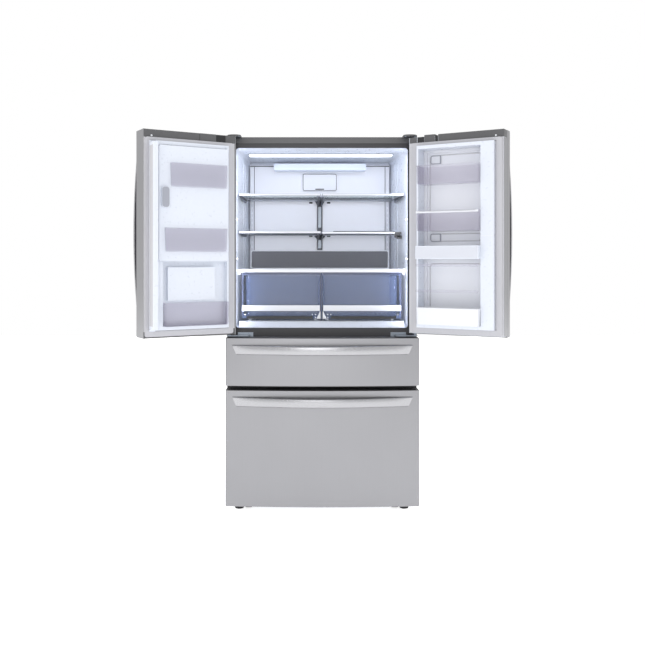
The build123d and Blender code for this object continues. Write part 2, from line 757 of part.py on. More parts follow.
ice_pivot = (-dike_outer + 5 + ice_pivot_inset, (ice_door_front + ice_door_rear) / 2)
ice_door_z = (ice_low + 2.5, ice_high - 2.5)
with BuildPart() as ice_room:
    block(ice_room_x, (ice_front, dike_reach), (ice_low, ice_high))
    inner_x = (ice_room_x[0] + ice_wall, ice_room_x[1] - ice_wall)
    block(inner_x, (ice_front + 6, 40), (ice_low + ice_wall, ice_high - ice_wall), Mode.SUBTRACT)
    upright(*chute[:2], (ice_low - 1, ice_low + ice_wall + 1), chute[2], Mode.SUBTRACT)
    for z in ((ice_low - 4, ice_low + 2), (ice_high - 2, ice_high + 4)):
        block((ice_pivot[0] - 5, ice_pivot[0] + 6), (dike_reach, ice_door_rear), z)
    for z in ((ice_low + 1, ice_low + 16), (ice_high - 16, ice_high - 1)):
        upright(*ice_pivot, z, ice_pin_radius)
save(ice_room.part, "ice_room", left_pin)

with BuildPart() as ice_bucket:
    bucket_x = (inner_x[0] + 4, inner_x[1] - 4)
    tub(bucket_x, (ice_front + 10, 8), (ice_low + ice_wall, 1420), 3.0, floor=14.0)
    upright(*chute[:2], (ice_low, ice_low + 40), chute[2], Mode.SUBTRACT)
save(ice_bucket.part, "ice_bucket", left_pin)

with BuildPart() as ice_maker:
    tub((-372, -150), (ice_front + 6, -8), (1480, 1560), 6.0, floor=30.0)
    block((-150, -104), (ice_front + 6, -8), (1470, 1600))
save(ice_maker.part, "ice_maker", left_pin)

with BuildPart() as ice_room_door:
    block((ice_pivot[0] - ice_pivot_inset, -60), (ice_door_front, ice_door_rear), ice_door_z)
    fillet(ice_room_door.edges().filter_by(Axis.Z).sort_by(Axis.X)[:2], 5.0)
    fillet(ice_room_door.edges().filter_by(Axis.Y).sort_by(Axis.X)[-2:], 12.0)
    for z in ((ice_low, ice_low + 17), (ice_high - 17, ice_high)):
        upright(*ice_pivot, z, ice_pin_radius + pin_clearance, Mode.SUBTRACT)
    block((-107, -70), (ice_door_rear, ice_door_rear + 9), (1430, 1524))
    latch_edges = ice_room_door.edges().filter_by(Axis.Y).sort_by(lambda e: -e.center().Y)[:4]
    fillet(latch_edges, 14.0)
save(ice_room_door.part, "ice_room_door", left_pin)

with BuildPart() as ice_door_bins:
    for z in ((1524, 1631), (1234, 1341)):
        across = (ice_pivot[0] + 8, left_dike_inner)
        bottom = z[0]
        if z[0] > 1500:
            across = (ice_pivot[0] + 8, -110)
        tub(across, (ice_door_rear, bin_reach + 2), (bottom, z[1]), bin_wall)
save(ice_door_bins.part, "ice_door_bins", left_pin)

with BuildPart() as mullion_flap:
    block((flap_left, flap_right), (0, flap_thickness), (flap_low, flap_high))
    by_pivot = mullion_flap.edges().filter_by(Axis.Z).sort_by_distance((flap_left, face, flap_low))
    fillet(by_pivot[0], flap_pivot)
    fillet(mullion_flap.edges().filter_by(Axis.Z).filter_by(lambda edge: edge.center().X > flap_left + 5), 3.0)
    for z in ((flap_low - 1, flap_low + 13), (flap_high - 13, flap_high + 1)):
        upright(flap_pivot_x, flap_pivot, z, flap_pin_radius + 0.08, Mode.SUBTRACT)
save(mullion_flap.part.rotate(flap_pin, 90), "mullion_flap", left_pin)

# ================================================================ right door
right_x = (door_edge, half)
with BuildPart() as outer_door_skin:
    add(front_prism(right_x, outer_rear, left_z, corner=panel_corner))
    hollow = front_prism(
        right_x, outer_rear + 1, (door_bottom - 1, door_top + 1), inset=skin, corner=panel_corner - skin
    )
    add(hollow, mode=Mode.SUBTRACT)
save(outer_door_skin.part, "outer_door_skin", right_pin)

arm_x = (424.0, 450.0)
arms = ((door_bottom + 2.5, door_bottom + 6.5), (door_top - 7.5, door_top - 3.5))
with BuildPart() as outer_door_caps:
    for z in ((door_bottom, core_z[0]), (core_z[1], door_top)):
        add(panel_core(right_x, z, rear=outer_rear))
    for z in arms:
        block(arm_x, (-82, outer_rear + 1), z, Mode.SUBTRACT)
save(outer_door_caps.part, "outer_door_caps", right_pin)

with BuildPart() as outer_door_core:
    add(panel_core(right_x, core_z, rear=outer_rear))
    block((112, 384), (outer_rear - 14, outer_rear + 1), (920, 1190), Mode.SUBTRACT)
    block((112, 384), (outer_rear - 14, outer_rear + 1), (1272, 1700), Mode.SUBTRACT)
save(outer_door_core.part, "outer_door_core", right_pin)

with BuildPart() as outer_door_hinges:
    for z in arms:
        block(arm_x, (-82, hinge_y + 10), z)
    fillet(outer_door_hinges.edges().filter_by(Axis.Z).group_by(Axis.Y)[-1], 8)
    upright(hinge_x, hinge_y, (door_bottom, door_top), bore_radius, Mode.SUBTRACT)
save(outer_door_hinges.part, "outer_door_hinges", right_pin)

with BuildPart() as outer_door_gasket:
    ring((18, 422), (outer_rear, bin_frame_front - gasket_slack), (878, 1756), (14, 14, 14, 14))
save(outer_door_gasket.part, "outer_door_gasket", right_pin)

door_handle("outer_door_handle", 1, right_pin)

frame_x = (door_edge, hinge_x + bin_frame_side)
with BuildPart() as bin_frame:
    border = (
        right_dike_inner - door_edge,
        frame_x[1] - dike_outer + dike_hinge_wall,
        dike_low + dike_wall - bin_frame_low,
        bin_frame_high - dike_high + dike_wall,
    )
    ring(frame_x, (bin_frame_front, panel_rear), (bin_frame_low, bin_frame_high), border)
    corner_edge = bin_frame.edges().filter_by(Axis.Z).sort_by(lambda e: e.center().Y - e.center().X)[0]
    fillet(corner_edge, bin_frame_corner)
    border = (right_dike_inner - right_dike_edge, dike_hinge_wall, dike_wall, dike_wall)
    ring((right_dike_edge, dike_outer), (panel_rear, dike_reach), (dike_low, dike_high), border)
    shelf_x = (right_dike_inner, dike_outer - dike_hinge_wall)
    block(shelf_x, (-50, bin_reach), (1202, 1262))
    for z in ((bin_frame_low - 1, arm_z[1] + pin_length + 1), (cover_top - pin_length - 1, bin_frame_high + 1)):
        upright(hinge_x, hinge_y, z, bore_radius, Mode.SUBTRACT)
save(bin_frame.part, "bin_frame", right_pin)

with BuildPart() as bin_frame_gasket:
    across = (door_edge + gasket_free, half - gasket_hinge)
    border = (gasket_width, gasket_width, gasket_width - 4, gasket_width)
    ring(across, (panel_rear, -gasket_slack), (gasket_low + 4, gasket_high), border)
save(bin_frame_gasket.part, "bin_frame_gasket", right_pin)

with BuildPart() as bin_frame_bins:
    for z in ((1546, 1632), (1330, 1424), (901, 980)):
        tub(shelf_x, (-50, bin_reach), z, bin_wall)
    for z in ((1050, 1062), (1168, 1180)):
        block(shelf_x, (bin_reach - 8, bin_reach), z)
save(bin_frame_bins.part, "bin_frame_bins", right_pin)
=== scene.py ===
import json
from math import cos, pi, radians, sin, sqrt

import bmesh
import bpy
from bpy.props import FloatProperty, FloatVectorProperty, PointerProperty
from mathutils import Matrix, Vector


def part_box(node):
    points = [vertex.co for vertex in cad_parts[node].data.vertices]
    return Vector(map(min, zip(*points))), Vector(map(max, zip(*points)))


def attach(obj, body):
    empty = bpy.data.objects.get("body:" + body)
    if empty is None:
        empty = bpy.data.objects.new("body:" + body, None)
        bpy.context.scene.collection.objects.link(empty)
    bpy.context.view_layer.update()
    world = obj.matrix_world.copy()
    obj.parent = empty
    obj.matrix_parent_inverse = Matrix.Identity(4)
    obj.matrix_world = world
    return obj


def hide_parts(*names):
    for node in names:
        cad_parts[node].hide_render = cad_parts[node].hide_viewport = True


bl_info = {
    "name": "French Door Refrigerator",
    "version": (1, 0, 0),
    "blender": (4, 5, 0),
    "location": "View3D > Sidebar > Refrigerator",
    "description": "Dresses the refrigerator's frame with its finishes, bins, handles and small parts",
    "category": "Add Mesh",
}

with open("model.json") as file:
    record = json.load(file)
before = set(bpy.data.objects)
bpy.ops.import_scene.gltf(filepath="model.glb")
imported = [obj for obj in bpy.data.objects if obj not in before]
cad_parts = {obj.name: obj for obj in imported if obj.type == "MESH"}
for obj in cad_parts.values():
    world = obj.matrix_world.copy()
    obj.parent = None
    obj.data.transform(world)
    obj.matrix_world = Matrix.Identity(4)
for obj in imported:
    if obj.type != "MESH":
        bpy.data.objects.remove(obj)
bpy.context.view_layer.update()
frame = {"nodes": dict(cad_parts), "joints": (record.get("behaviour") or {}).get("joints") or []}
NODES = frame["nodes"]
JOINTS = {joint["name"]: joint for joint in frame["joints"]}

# Every piece is drawn in millimetres with the doors shut, y measured from the cabinet's front
# flange, and is then put where the open doors hold it.
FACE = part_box("front_frame")[0][1] * 1000
TO_METRES = Matrix.Translation((0, FACE / 1000, 0)) @ Matrix.Scale(0.001, 4)


def opened(joint_name):
    """Turns what is drawn shut to where the stored pose holds it."""
    joint = JOINTS[joint_name]
    pin, axis = Vector(joint["pos_m"]), Vector(joint["axis"])
    turn = Matrix.Rotation(-radians(joint["range_deg"][1]), 4, axis)
    return Matrix.Translation(pin) @ turn @ Matrix.Translation(-pin)


LEFT = opened("left_door_hinge")
RIGHT = opened("right_bin_frame_hinge")
FLAT = Matrix.Identity(4)
FOLDED = LEFT @ Matrix.Translation((-0.030, (FACE + 6) / 1000, 0)) @ Matrix.Rotation(pi / 2, 4, "Z")
FOLDED = FOLDED @ Matrix.Translation((0.030, -(FACE + 6) / 1000, 0))


SHARP = radians(35)  # edges bent more than this are eased or kept crisp


# ---------------------------------------------------------------- small helpers
def linear(code):
    """sRGB hex to linear colour."""
    values = [int(code[i : i + 2], 16) / 255 for i in (1, 3, 5)]
    return (*[v / 12.92 if v <= 0.04045 else ((v + 0.055) / 1.055) ** 2.4 for v in values], 1.0)


def add_node(tree, kind, links=None, **settings):
    """Adds a node with its settings; links maps its inputs to values or to other nodes' outputs."""
    made = tree.nodes.new(kind)
    for key, value in settings.items():
        setattr(made, key, value)
    for key, value in (links or {}).items():
        if isinstance(value, bpy.types.NodeSocket):
            tree.links.new(value, made.inputs[key])
        else:
            made.inputs[key].default_value = value
    return made


FINISHES = {}
COAT_ROUGHNESS = 0.06
EDGE_ON_COVER = 0.85


def finish(
    name,
    colour,
    metallic=0.0,
    roughness=0.5,
    ior=1.5,
    grain_mm=2.0,
    tone=0.04,
    rough_tone=0.06,
    depth_mm=0.02,
    coat=0.0,
    glow=0.0,
    cells=False,
    haze=None,
):
    """Principled surface whose colour, roughness and bump vary with a pattern of real grain size.

    grain_mm is the pattern's size along x, y and z, or one size for all three. haze is how much a
    thin clear sheet covers what is behind it when looked at squarely.
    """
    made = FINISHES[name] = bpy.data.materials.new(name)
    made.use_nodes = True
    tree = made.node_tree
    tree.nodes.clear()
    out = add_node(tree, "ShaderNodeOutputMaterial")
    skin = add_node(tree, "ShaderNodeBsdfPrincipled")
    place = add_node(tree, "ShaderNodeTexCoord")
    sizes = grain_mm if isinstance(grain_mm, tuple) else (grain_mm,) * 3
    stretch = tuple(1000.0 / size for size in sizes)
    grain_place = add_node(
        tree, "ShaderNodeMapping", {"Vector": place.outputs["Object"], "Scale": stretch}
    )
    if cells:
        grain = add_node(
            tree, "ShaderNodeTexVoronoi", {"Vector": grain_place.outputs[0], "Scale": 1.0}
        ).outputs["Distance"]
    else:
        grain = add_node(
            tree, "ShaderNodeTexNoise", {"Vector": grain_place.outputs[0], "Scale": 1.0, "Detail": 3.0}
        ).outputs["Fac"]
    drift = add_node(
        tree, "ShaderNodeTexNoise", {"Vector": place.outputs["Object"], "Scale": 2.2, "Detail": 2.0}
    ).outputs["Fac"]
    both = add_node(tree, "ShaderNodeMath", {0: grain, 1: drift}, operation="ADD")
    base = linear(colour)
    dark = tuple(v * (1 - tone) for v in base[:3]) + (1.0,)
    light = tuple(min(1.0, v * (1 + tone)) for v in base[:3]) + (1.0,)
    ramp = add_node(tree, "ShaderNodeValToRGB")
    spread = add_node(
        tree, "ShaderNodeMapRange", {"Value": both.outputs[0], "From Min": 0.7, "From Max": 1.3}
    )
    ramp.color_ramp.elements[0].color = dark
    ramp.color_ramp.elements[1].color = light
    tree.links.new(spread.outputs[0], ramp.inputs[0])
    tree.links.new(ramp.outputs[0], skin.inputs["Base Color"])
    rough = add_node(
        tree,
        "ShaderNodeMapRange",
        {
            "Value": grain,
            "From Min": 0.3,
            "From Max": 0.7,
            "To Min": max(0.02, roughness - rough_tone),
            "To Max": roughness + rough_tone,
        },
    )
    tree.links.new(rough.outputs[0], skin.inputs["Roughness"])
    if depth_mm:
        bump = add_node(
            tree, "ShaderNodeBump", {"Height": grain, "Strength": 0.6, "Distance": depth_mm / 1000}
        )
        tree.links.new(bump.outputs[0], skin.inputs["Normal"])
    if haze is not None:
        # thin clear sheet: light passes straight through, less so at the edges seen end on
        edge = add_node(tree, "ShaderNodeLayerWeight", {"Blend": 0.5}).outputs["Facing"]
        steep = add_node(tree, "ShaderNodeMath", {0: edge, 1: 5.0}, operation="POWER")
        cover = add_node(
            tree, "ShaderNodeMapRange", {"Value": steep.outputs[0], "To Min": haze, "To Max": EDGE_ON_COVER}
        )
        tree.links.new(cover.outputs[0], skin.inputs["Alpha"])
    skin.inputs["Metallic"].default_value = metallic
    if not metallic:
        skin.inputs["IOR"].default_value = ior
    if coat:
        skin.inputs["Coat Weight"].default_value = coat
        skin.inputs["Coat Roughness"].default_value = COAT_ROUGHNESS
    if glow:
        skin.inputs["Emission Color"].default_value = base
        skin.inputs["Emission Strength"].default_value = glow
    tree.links.new(skin.outputs[0], out.inputs[0])


def make_finishes(looks):
    """The object's finishes, each from what the real surface is and how it was made."""
    # upright brushing, drawn coarser than the real 0.1 mm scratches so that it shows
    finish(
        "stainless_brushed", looks.steel, 1.0, 0.34, grain_mm=(0.9, 0.9, 160.0), tone=0.035,
        rough_tone=0.05, depth_mm=0.008,
    )
    # handles are polished along their length after bending, so brighter and tighter
    finish("stainless_satin", "#A3A3A6", 1.0, 0.24, grain_mm=(90.0, 0.8, 0.8), tone=0.03, depth_mm=0.005)
    # stoved enamel with a fine orange peel
    finish("enamel_grey", "#6E6F72", 0.0, 0.42, grain_mm=1.6, tone=0.05, depth_mm=0.05)
    finish("enamel_charcoal", "#252529", 0.0, 0.38, grain_mm=2.0, tone=0.06, depth_mm=0.02)
    # hot dip zinc, with its crystals a few centimetres wide
    finish(
        "zinc_spangled", "#A4A8AC", 1.0, 0.42, grain_mm=22.0, tone=0.12, rough_tone=0.1, depth_mm=0.01,
        cells=True,
    )
    # bright zinc on pressed steel: cool, slightly mottled shine
    finish("zinc_plated", "#868D96", 1.0, 0.34, grain_mm=3.0, tone=0.08, rough_tone=0.08)
    # vacuum formed sheet: glossy, slightly uneven
    finish("polystyrene_formed", looks.liner, 0.0, 0.32, 1.59, grain_mm=14.0, tone=0.015, depth_mm=0.05)
    # moulded ABS with a fine spark eroded grain: even and nearly matt
    finish("abs_light_grey", "#B9B9BD", 0.0, 0.42, 1.53, grain_mm=0.8, tone=0.02, depth_mm=0.02)
    finish("abs_pale_grey", "#C4C7D0", 0.0, 0.36, 1.53, grain_mm=0.8, tone=0.02, depth_mm=0.02)
    finish("abs_dark_grey", looks.cap, 0.0, 0.46, 1.53, grain_mm=0.7, tone=0.05, depth_mm=0.03)
    # black ABS; the same near black is also painted shade on the plates set in gaps, in recesses and under
    # the crispers
    finish("abs_black_and_shade", "#0C0D12", 0.0, 0.4, 1.53, grain_mm=0.7, tone=0.08, depth_mm=0.02)
    # the same on the rear wall, whose faint glow stands for light passed on between white walls
    finish("abs_lilac_grey", "#CED0D7", 0.0, 0.38, 1.53, grain_mm=1.0, tone=0.02, depth_mm=0.02, glow=0.1)
    # extruded soft vinyl with magnets inside: matt, a little wavy along its length
    finish("vinyl_gasket", "#AFAFB4", 0.0, 0.58, 1.52, grain_mm=(6.0, 6.0, 30.0), tone=0.03, depth_mm=0.1)
    # injection moulded clear polystyrene with a faint lilac body colour
    finish(
        "styrene_clear", looks.bins, 0.0, 0.08, 1.59, grain_mm=20.0, tone=0.02, rough_tone=0.03,
        depth_mm=0.02, haze=0.11,
    )
    finish(
        "styrene_smoke", "#6E7FA6", 0.0, 0.1, 1.59, grain_mm=20.0, tone=0.02, rough_tone=0.03,
        depth_mm=0.02, haze=0.22,
    )
    # toughened float glass, faintly green, with a slight roller wave
    finish(
        "glass_tempered", "#A9BDBC", 0.0, 0.04, 1.52, grain_mm=60.0, tone=0.01, rough_tone=0.01,
        depth_mm=0.02, haze=0.07,
    )
    # shadow gaps and the dark blue edges of the crispers
    finish("abs_slate_blue", "#3C4560", 0.0, 0.3, 1.53, grain_mm=1.0, tone=0.05, depth_mm=0.02)
    # frosted polycarbonate over the lamp: soft, with an inner glow
    finish(
        "polycarbonate_frosted", "#B8C0D0", 0.0, 0.45, 1.58, grain_mm=1.0, tone=0.02, depth_mm=0.04,
        glow=0.3,
    )
    # lit diffuser: flat bright white
    finish("light_strip", "#F4F8FF", 0.0, 0.4, 1.5, grain_mm=6.0, tone=0.01, glow=1.6)
    # powder coated steel of the shelves' track: dark, fine grained, half gloss; also the painted shade lines
    # across the ceiling and along the duct
    finish("enamel_slate_and_shade", "#3B3F49", 0.0, 0.35, grain_mm=1.5, tone=0.08, depth_mm=0.02)
    # moulded ABS of the latch; the shelf frames, white in fact, take this grey as painted shade on their
    # undersides
    finish("abs_mid_grey", "#9497A1", 0.0, 0.4, 1.53, grain_mm=0.8, tone=0.03, depth_mm=0.02)
    # printed band with upright lines, a touch metallic
    finish("panel_graphite", "#5A5B62", 0.1, 0.4, grain_mm=(0.8, 0.8, 60.0), tone=0.05, depth_mm=0.01)
    # moulded rubber: deep matt black with a coarse skin
    finish("rubber_moulded", "#232325", 0.0, 0.75, 1.52, grain_mm=1.2, tone=0.1, depth_mm=0.08)
    # polished black acrylic: sharp reflections under a clear coat
    finish(
        "acrylic_black", "#0E0F11", 0.0, 0.12, 1.49, grain_mm=8.0, tone=0.05, rough_tone=0.03,
        depth_mm=0.01, coat=0.5,
    )
    # dipped black paint on a drawn steel shell: thick and glossy
    finish("steel_painted_black", "#161618", 0.0, 0.3, grain_mm=2.5, tone=0.1, depth_mm=0.04)
    # foamed polyurethane with its open cells
    finish("foam_cut", "#D8C89A", 0.0, 0.8, grain_mm=1.0, tone=0.1, depth_mm=0.3)
    # moulded polypropylene: soft waxy white
    finish("polypropylene_white", "#D4D6DB", 0.0, 0.4, 1.49, grain_mm=1.0, tone=0.02, depth_mm=0.02)
    # studio paper, bright enough to lose its edges
    finish("floor_paper", "#FFFFFF", 0.0, 0.9, grain_mm=5.0, tone=0.003, depth_mm=0.0, glow=0.8)


def box_loops(bm, x, y, z):
    """Adds a box between low and high values."""
    made = bmesh.ops.create_cube(bm, size=1.0)
    size = Matrix.Diagonal((x[1] - x[0], y[1] - y[0], z[1] - z[0], 1))
    centre = Matrix.Translation(((x[0] + x[1]) / 2, (y[0] + y[1]) / 2, (z[0] + z[1]) / 2))
    bmesh.ops.transform(bm, matrix=centre @ size, verts=made["verts"])


def skin_over(bm, rings, closed=False):
    """Joins rings of equal count with quads; closed joins the last ring to the first."""
    rows = [[bm.verts.new(p) for p in ring] for ring in rings]
    count = len(rows[0])
    steps = len(rows) if closed else len(rows) - 1
    for i in range(steps):
        low, high = rows[i], rows[(i + 1) % len(rows)]
        for k in range(count):
            bm.faces.new((low[k], low[(k + 1) % count], high[(k + 1) % count], high[k]))
    if not closed:
        bm.faces.new(list(reversed(rows[0])))
        bm.faces.new(rows[-1])


def rounded(x, y, radius, steps=5):
    """Corner-rounded rectangle as (x, y) points, going round once; radius may be four values."""
    radii = radius if isinstance(radius, (tuple, list)) else (radius,) * 4
    corners = ((x[1], y[1], 0), (x[0], y[1], 1), (x[0], y[0], 2), (x[1], y[0], 3))
    points = []
    for (cx, cy, turn), r in zip(corners, radii):
        r = max(r, 0.01)
        mx = cx - r if turn in (0, 3) else cx + r
        my = cy - r if turn in (0, 1) else cy + r
        for k in range(steps + 1):
            a = pi / 2 * (turn + k / steps)
            points.append((mx + r * cos(a), my + r * sin(a)))
    return points


def prism(bm, outline, depth, plane="z"):
    """Extrudes an outline along an axis: plane z takes (x, y), y takes (x, z), x takes (y, z)."""
    order = {
        "z": lambda p, d: (p[0], p[1], d),
        "y": lambda p, d: (p[0], d, p[1]),
        "x": lambda p, d: (d, p[0], p[1]),
    }[plane]
    skin_over(bm, [[order(p, d) for p in outline] for d in depth])


def stretched(profile, x):
    """The same (y, z) profile at each x, as rings."""
    return [[(px, py, pz) for py, pz in profile] for px in x]


def rounded_ring(bm, outer, inner, depth, soft):
    """Upright frame between two (x, z) outlines of equal count, with its edges eased by soft."""

    def between(a, b, t):
        return [(p[0] + (q[0] - p[0]) * t, p[1] + (q[1] - p[1]) * t) for p, q in zip(a, b)]

    gap = sqrt((outer[0][0] - inner[0][0]) ** 2 + (outer[0][1] - inner[0][1]) ** 2)
    share = min(0.45, soft / gap)
    low, high = depth
    sign = 1 if high > low else -1
    rows = [
        (outer, low),
        (outer, high - sign * soft),
        (between(outer, inner, share), high),
        (between(outer, inner, 1 - share), high),
        (inner, high - sign * soft),
        (inner, low),
    ]
    skin_over(bm, [[(x, d, z) for x, z in line] for line, d in rows], closed=True)


def turned(bm, profile, centre, axis="z", steps=32):
    """Solid of revolution from (radius, height) points about an axis through centre."""
    rings = []
    for radius, height in profile:
        ring = []
        for k in range(steps):
            a = 2 * pi * k / steps
            u, v = max(radius, 0.01) * cos(a), max(radius, 0.01) * sin(a)
            offset = {"z": (u, v, height), "x": (height, u, v), "y": (u, height, v)}[axis]
            ring.append(tuple(c + o for c, o in zip(centre, offset)))
        rings.append(ring)
    skin_over(bm, rings)


def piece(name, bm, material, body, place=FLAT, ease=0.0, replaces=()):
    """Puts a drawn mesh in place, gives it its finish and lets it ride on its body."""
    bmesh.ops.remove_doubles(bm, verts=bm.verts, dist=0.001)
    bmesh.ops.recalc_face_normals(bm, faces=bm.faces)
    bm.transform(place @ TO_METRES)
    mesh = bpy.data.meshes.new(name)
    bm.to_mesh(mesh)
    bm.free()
    made = bpy.data.objects.new(name, mesh)
    bpy.context.scene.collection.objects.link(made)
    mesh.materials.append(FINISHES[material])
    for face in mesh.polygons:
        face.use_smooth = True
    if ease:
        ease_edges(made, ease)
    else:
        made.modifiers.new("crease", "EDGE_SPLIT").split_angle = SHARP
    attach(made, body)
    if replaces:
        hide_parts(*replaces)


def ease_edges(made, ease):
    """Rounds sharp edges by ease millimetres."""
    edge = made.modifiers.new("eased_edges", "BEVEL")
    edge.width = ease / 1000
    edge.segments = 2
    edge.limit_method = "ANGLE"
    edge.angle_limit = SHARP
    edge.harden_normals = True


def dress(node, material, ease=0.0):
    """Gives a carried-over node its finish, with its flat faces merged and its edges rounded."""
    made = NODES[node]
    if not made.material_slots:
        made.data.materials.append(FINISHES[material])
    for slot in made.material_slots:
        slot.material = FINISHES[material]
    if ease:
        merge = made.modifiers.new("merged_flats", "DECIMATE")
        merge.decimate_type = "DISSOLVE"
        merge.angle_limit = radians(1.0)
        ease_edges(made, ease)


# ---------------------------------------------------------------- sizes shared by the pieces
HALF = 454.0
ARC_FRONT, ARC_RISE = -114.0, 20.0
ARC_RADIUS = (HALF**2 + ARC_RISE**2) / (2 * ARC_RISE)
PANEL_REAR = -12.0
OUTER_REAR = -62.0  # rear of the right outer door
CASE_REAR = 610.0
WALL_REAR = 455.0  # front of the refrigerator room's rear wall
# the doors' end caps, below and above
CAP_LOW, CAP_HIGH = (848.3, 877.8), (1744.2, 1779.8)
# heights of the shelves, and of each its height, side, front and outer end
UPPER, LOWER = SHELF_LEVELS = (1517.0, 1334.0)
FULL_FRONT = 66.0
SHELVES = (
    (UPPER, -1, FULL_FRONT, 396.0),
    (UPPER, 1, FULL_FRONT, 396.0),
    (LOWER, -1, FULL_FRONT, 396.0),
    (LOWER, 1, 144.0, 378.0),
)
# (radius, height) of the heads of the rear's screws and of the caps' screws
REAR_SCREW = ((0.1, 0), (4.2, 0), (4.2, 1.0), (2.4, 2.2), (0.1, 2.4))
CAP_SCREW = ((0.1, 0), (4.6, 0), (4.6, 1.0), (3.8, 1.8), (0.1, 2.0))


def contour(x):
    """y of the panels' curved front at x."""
    return ARC_FRONT + ARC_RADIUS - sqrt(ARC_RADIUS**2 - x**2)


def liner_half(y):
    """Half width inside the refrigerator liner at depth y."""
    return 412.0 - 34.0 * (y - 4.0) / 496.0


def sided(side, low, high):
    """Values low to high on one side of the middle, in rising order."""
    return tuple(sorted((side * low, side * high)))


class RefrigeratorLooks(bpy.types.PropertyGroup):
    """Colours and sizes that a user would change."""

    steel: bpy.props.StringProperty(
        name="Steel", description="Colour of the brushed steel fronts, as sRGB hex", default="#8F8F92"
    )
    liner: bpy.props.StringProperty(
        name="Liner", description="Colour of the white inner surfaces, as sRGB hex", default="#CED3DD"
    )
    cap: bpy.props.StringProperty(
        name="Caps", description="Colour of the end caps and top cover, as sRGB hex", default="#505052"
    )
    bins: bpy.props.StringProperty(
        name="Bins", description="Body colour of the clear bins, as sRGB hex", default="#A59EB6"
    )
    bin_wall: FloatProperty(
        name="Bin wall", description="Thickness of the clear bins, in millimetres", default=2.6, min=1, max=5
    )
    handle_depth: FloatProperty(
        name="Handle depth", description="Thickness of the handle bars, in millimetres", default=13.0, min=8
    )
    camera_from: FloatVectorProperty(
        name="Camera from",
        description="Where the camera stands",
        subtype="XYZ",
        unit="LENGTH",
        default=(-0.1007, FACE / 1000 - 3.887, 1.1879),
    )


def looks():
    return bpy.context.scene.refrigerator_looks


# ---------------------------------------------------------------- stage
class REFRIGERATOR_OT_stage(bpy.types.Operator):
    """Pale floor, soft light and the camera"""

    bl_idname = "refrigerator.stage"
    bl_label = "Stage"

    def execute(self, context):
        make_finishes(looks())
        bm = bmesh.new()
        box_loops(bm, (-9000, 9000), (-8000, 9000), (-30, -0.2))
        mesh = bpy.data.meshes.new("floor")
        bm.transform(Matrix.Scale(0.001, 4))
        bm.to_mesh(mesh)
        bm.free()
        floor = bpy.data.objects.new("floor", mesh)
        mesh.materials.append(FINISHES["floor_paper"])
        context.scene.collection.objects.link(floor)

        world = bpy.data.worlds.new("studio")
        world.use_nodes = True
        context.scene.world = world
        tree = world.node_tree
        tree.nodes.clear()
        glow = add_node(tree, "ShaderNodeBackground", {"Color": linear("#FFFFFF"), "Strength": 1.0})
        out = add_node(tree, "ShaderNodeOutputWorld")
        tree.links.new(glow.outputs[0], out.inputs[0])

        def lamp(name, spot, target, size, power, colour="#FFFFFF"):
            data = bpy.data.lights.new(name, "AREA")
            data.shape = "RECTANGLE"
            data.size, data.size_y = size
            data.energy = power
            data.color = linear(colour)[:3]
            made = bpy.data.objects.new(name, data)
            made.location = spot
            aim = Vector(target) - Vector(spot)
            made.rotation_euler = aim.to_track_quat("-Z", "Y").to_euler()
            made.visible_camera = False
            context.scene.collection.objects.link(made)

        lamp("key_light", (-0.2, -5.6, 1.9), (0, 0, 1.0), (1.7, 2.4), 34)
        lamp("side_light", (-3.4, -2.6, 2.4), (0, 0, 1.1), (1.6, 1.6), 6)
        near = FACE / 1000
        lamp("room_light_top", (0, near + 0.10, 1.722), (0, near + 0.30, 1.2), (0.72, 0.03), 0.8, "#E6EDFF")
        for side in (-1, 1):
            spot = (side * 0.402, near + 0.012, 1.3)
            lamp(f"room_light_{side}", spot, (0, near + 0.455, 1.3), (0.012, 0.8), 0.9, "#EEF2FF")

        data = bpy.data.cameras.new("camera")
        data.sensor_width = 36.0
        data.lens = 45.287442
        data.shift_x = 0.0335
        data.shift_y = -0.0936
        data.clip_end = 60.0
        camera = bpy.data.objects.new("camera", data)
        camera.location = looks().camera_from
        camera.rotation_euler = (pi / 2, 0, 0)
        context.scene.collection.objects.link(camera)
        context.scene.camera = camera
        context.scene.view_settings.view_transform = "Standard"
        return {"FINISHED"}


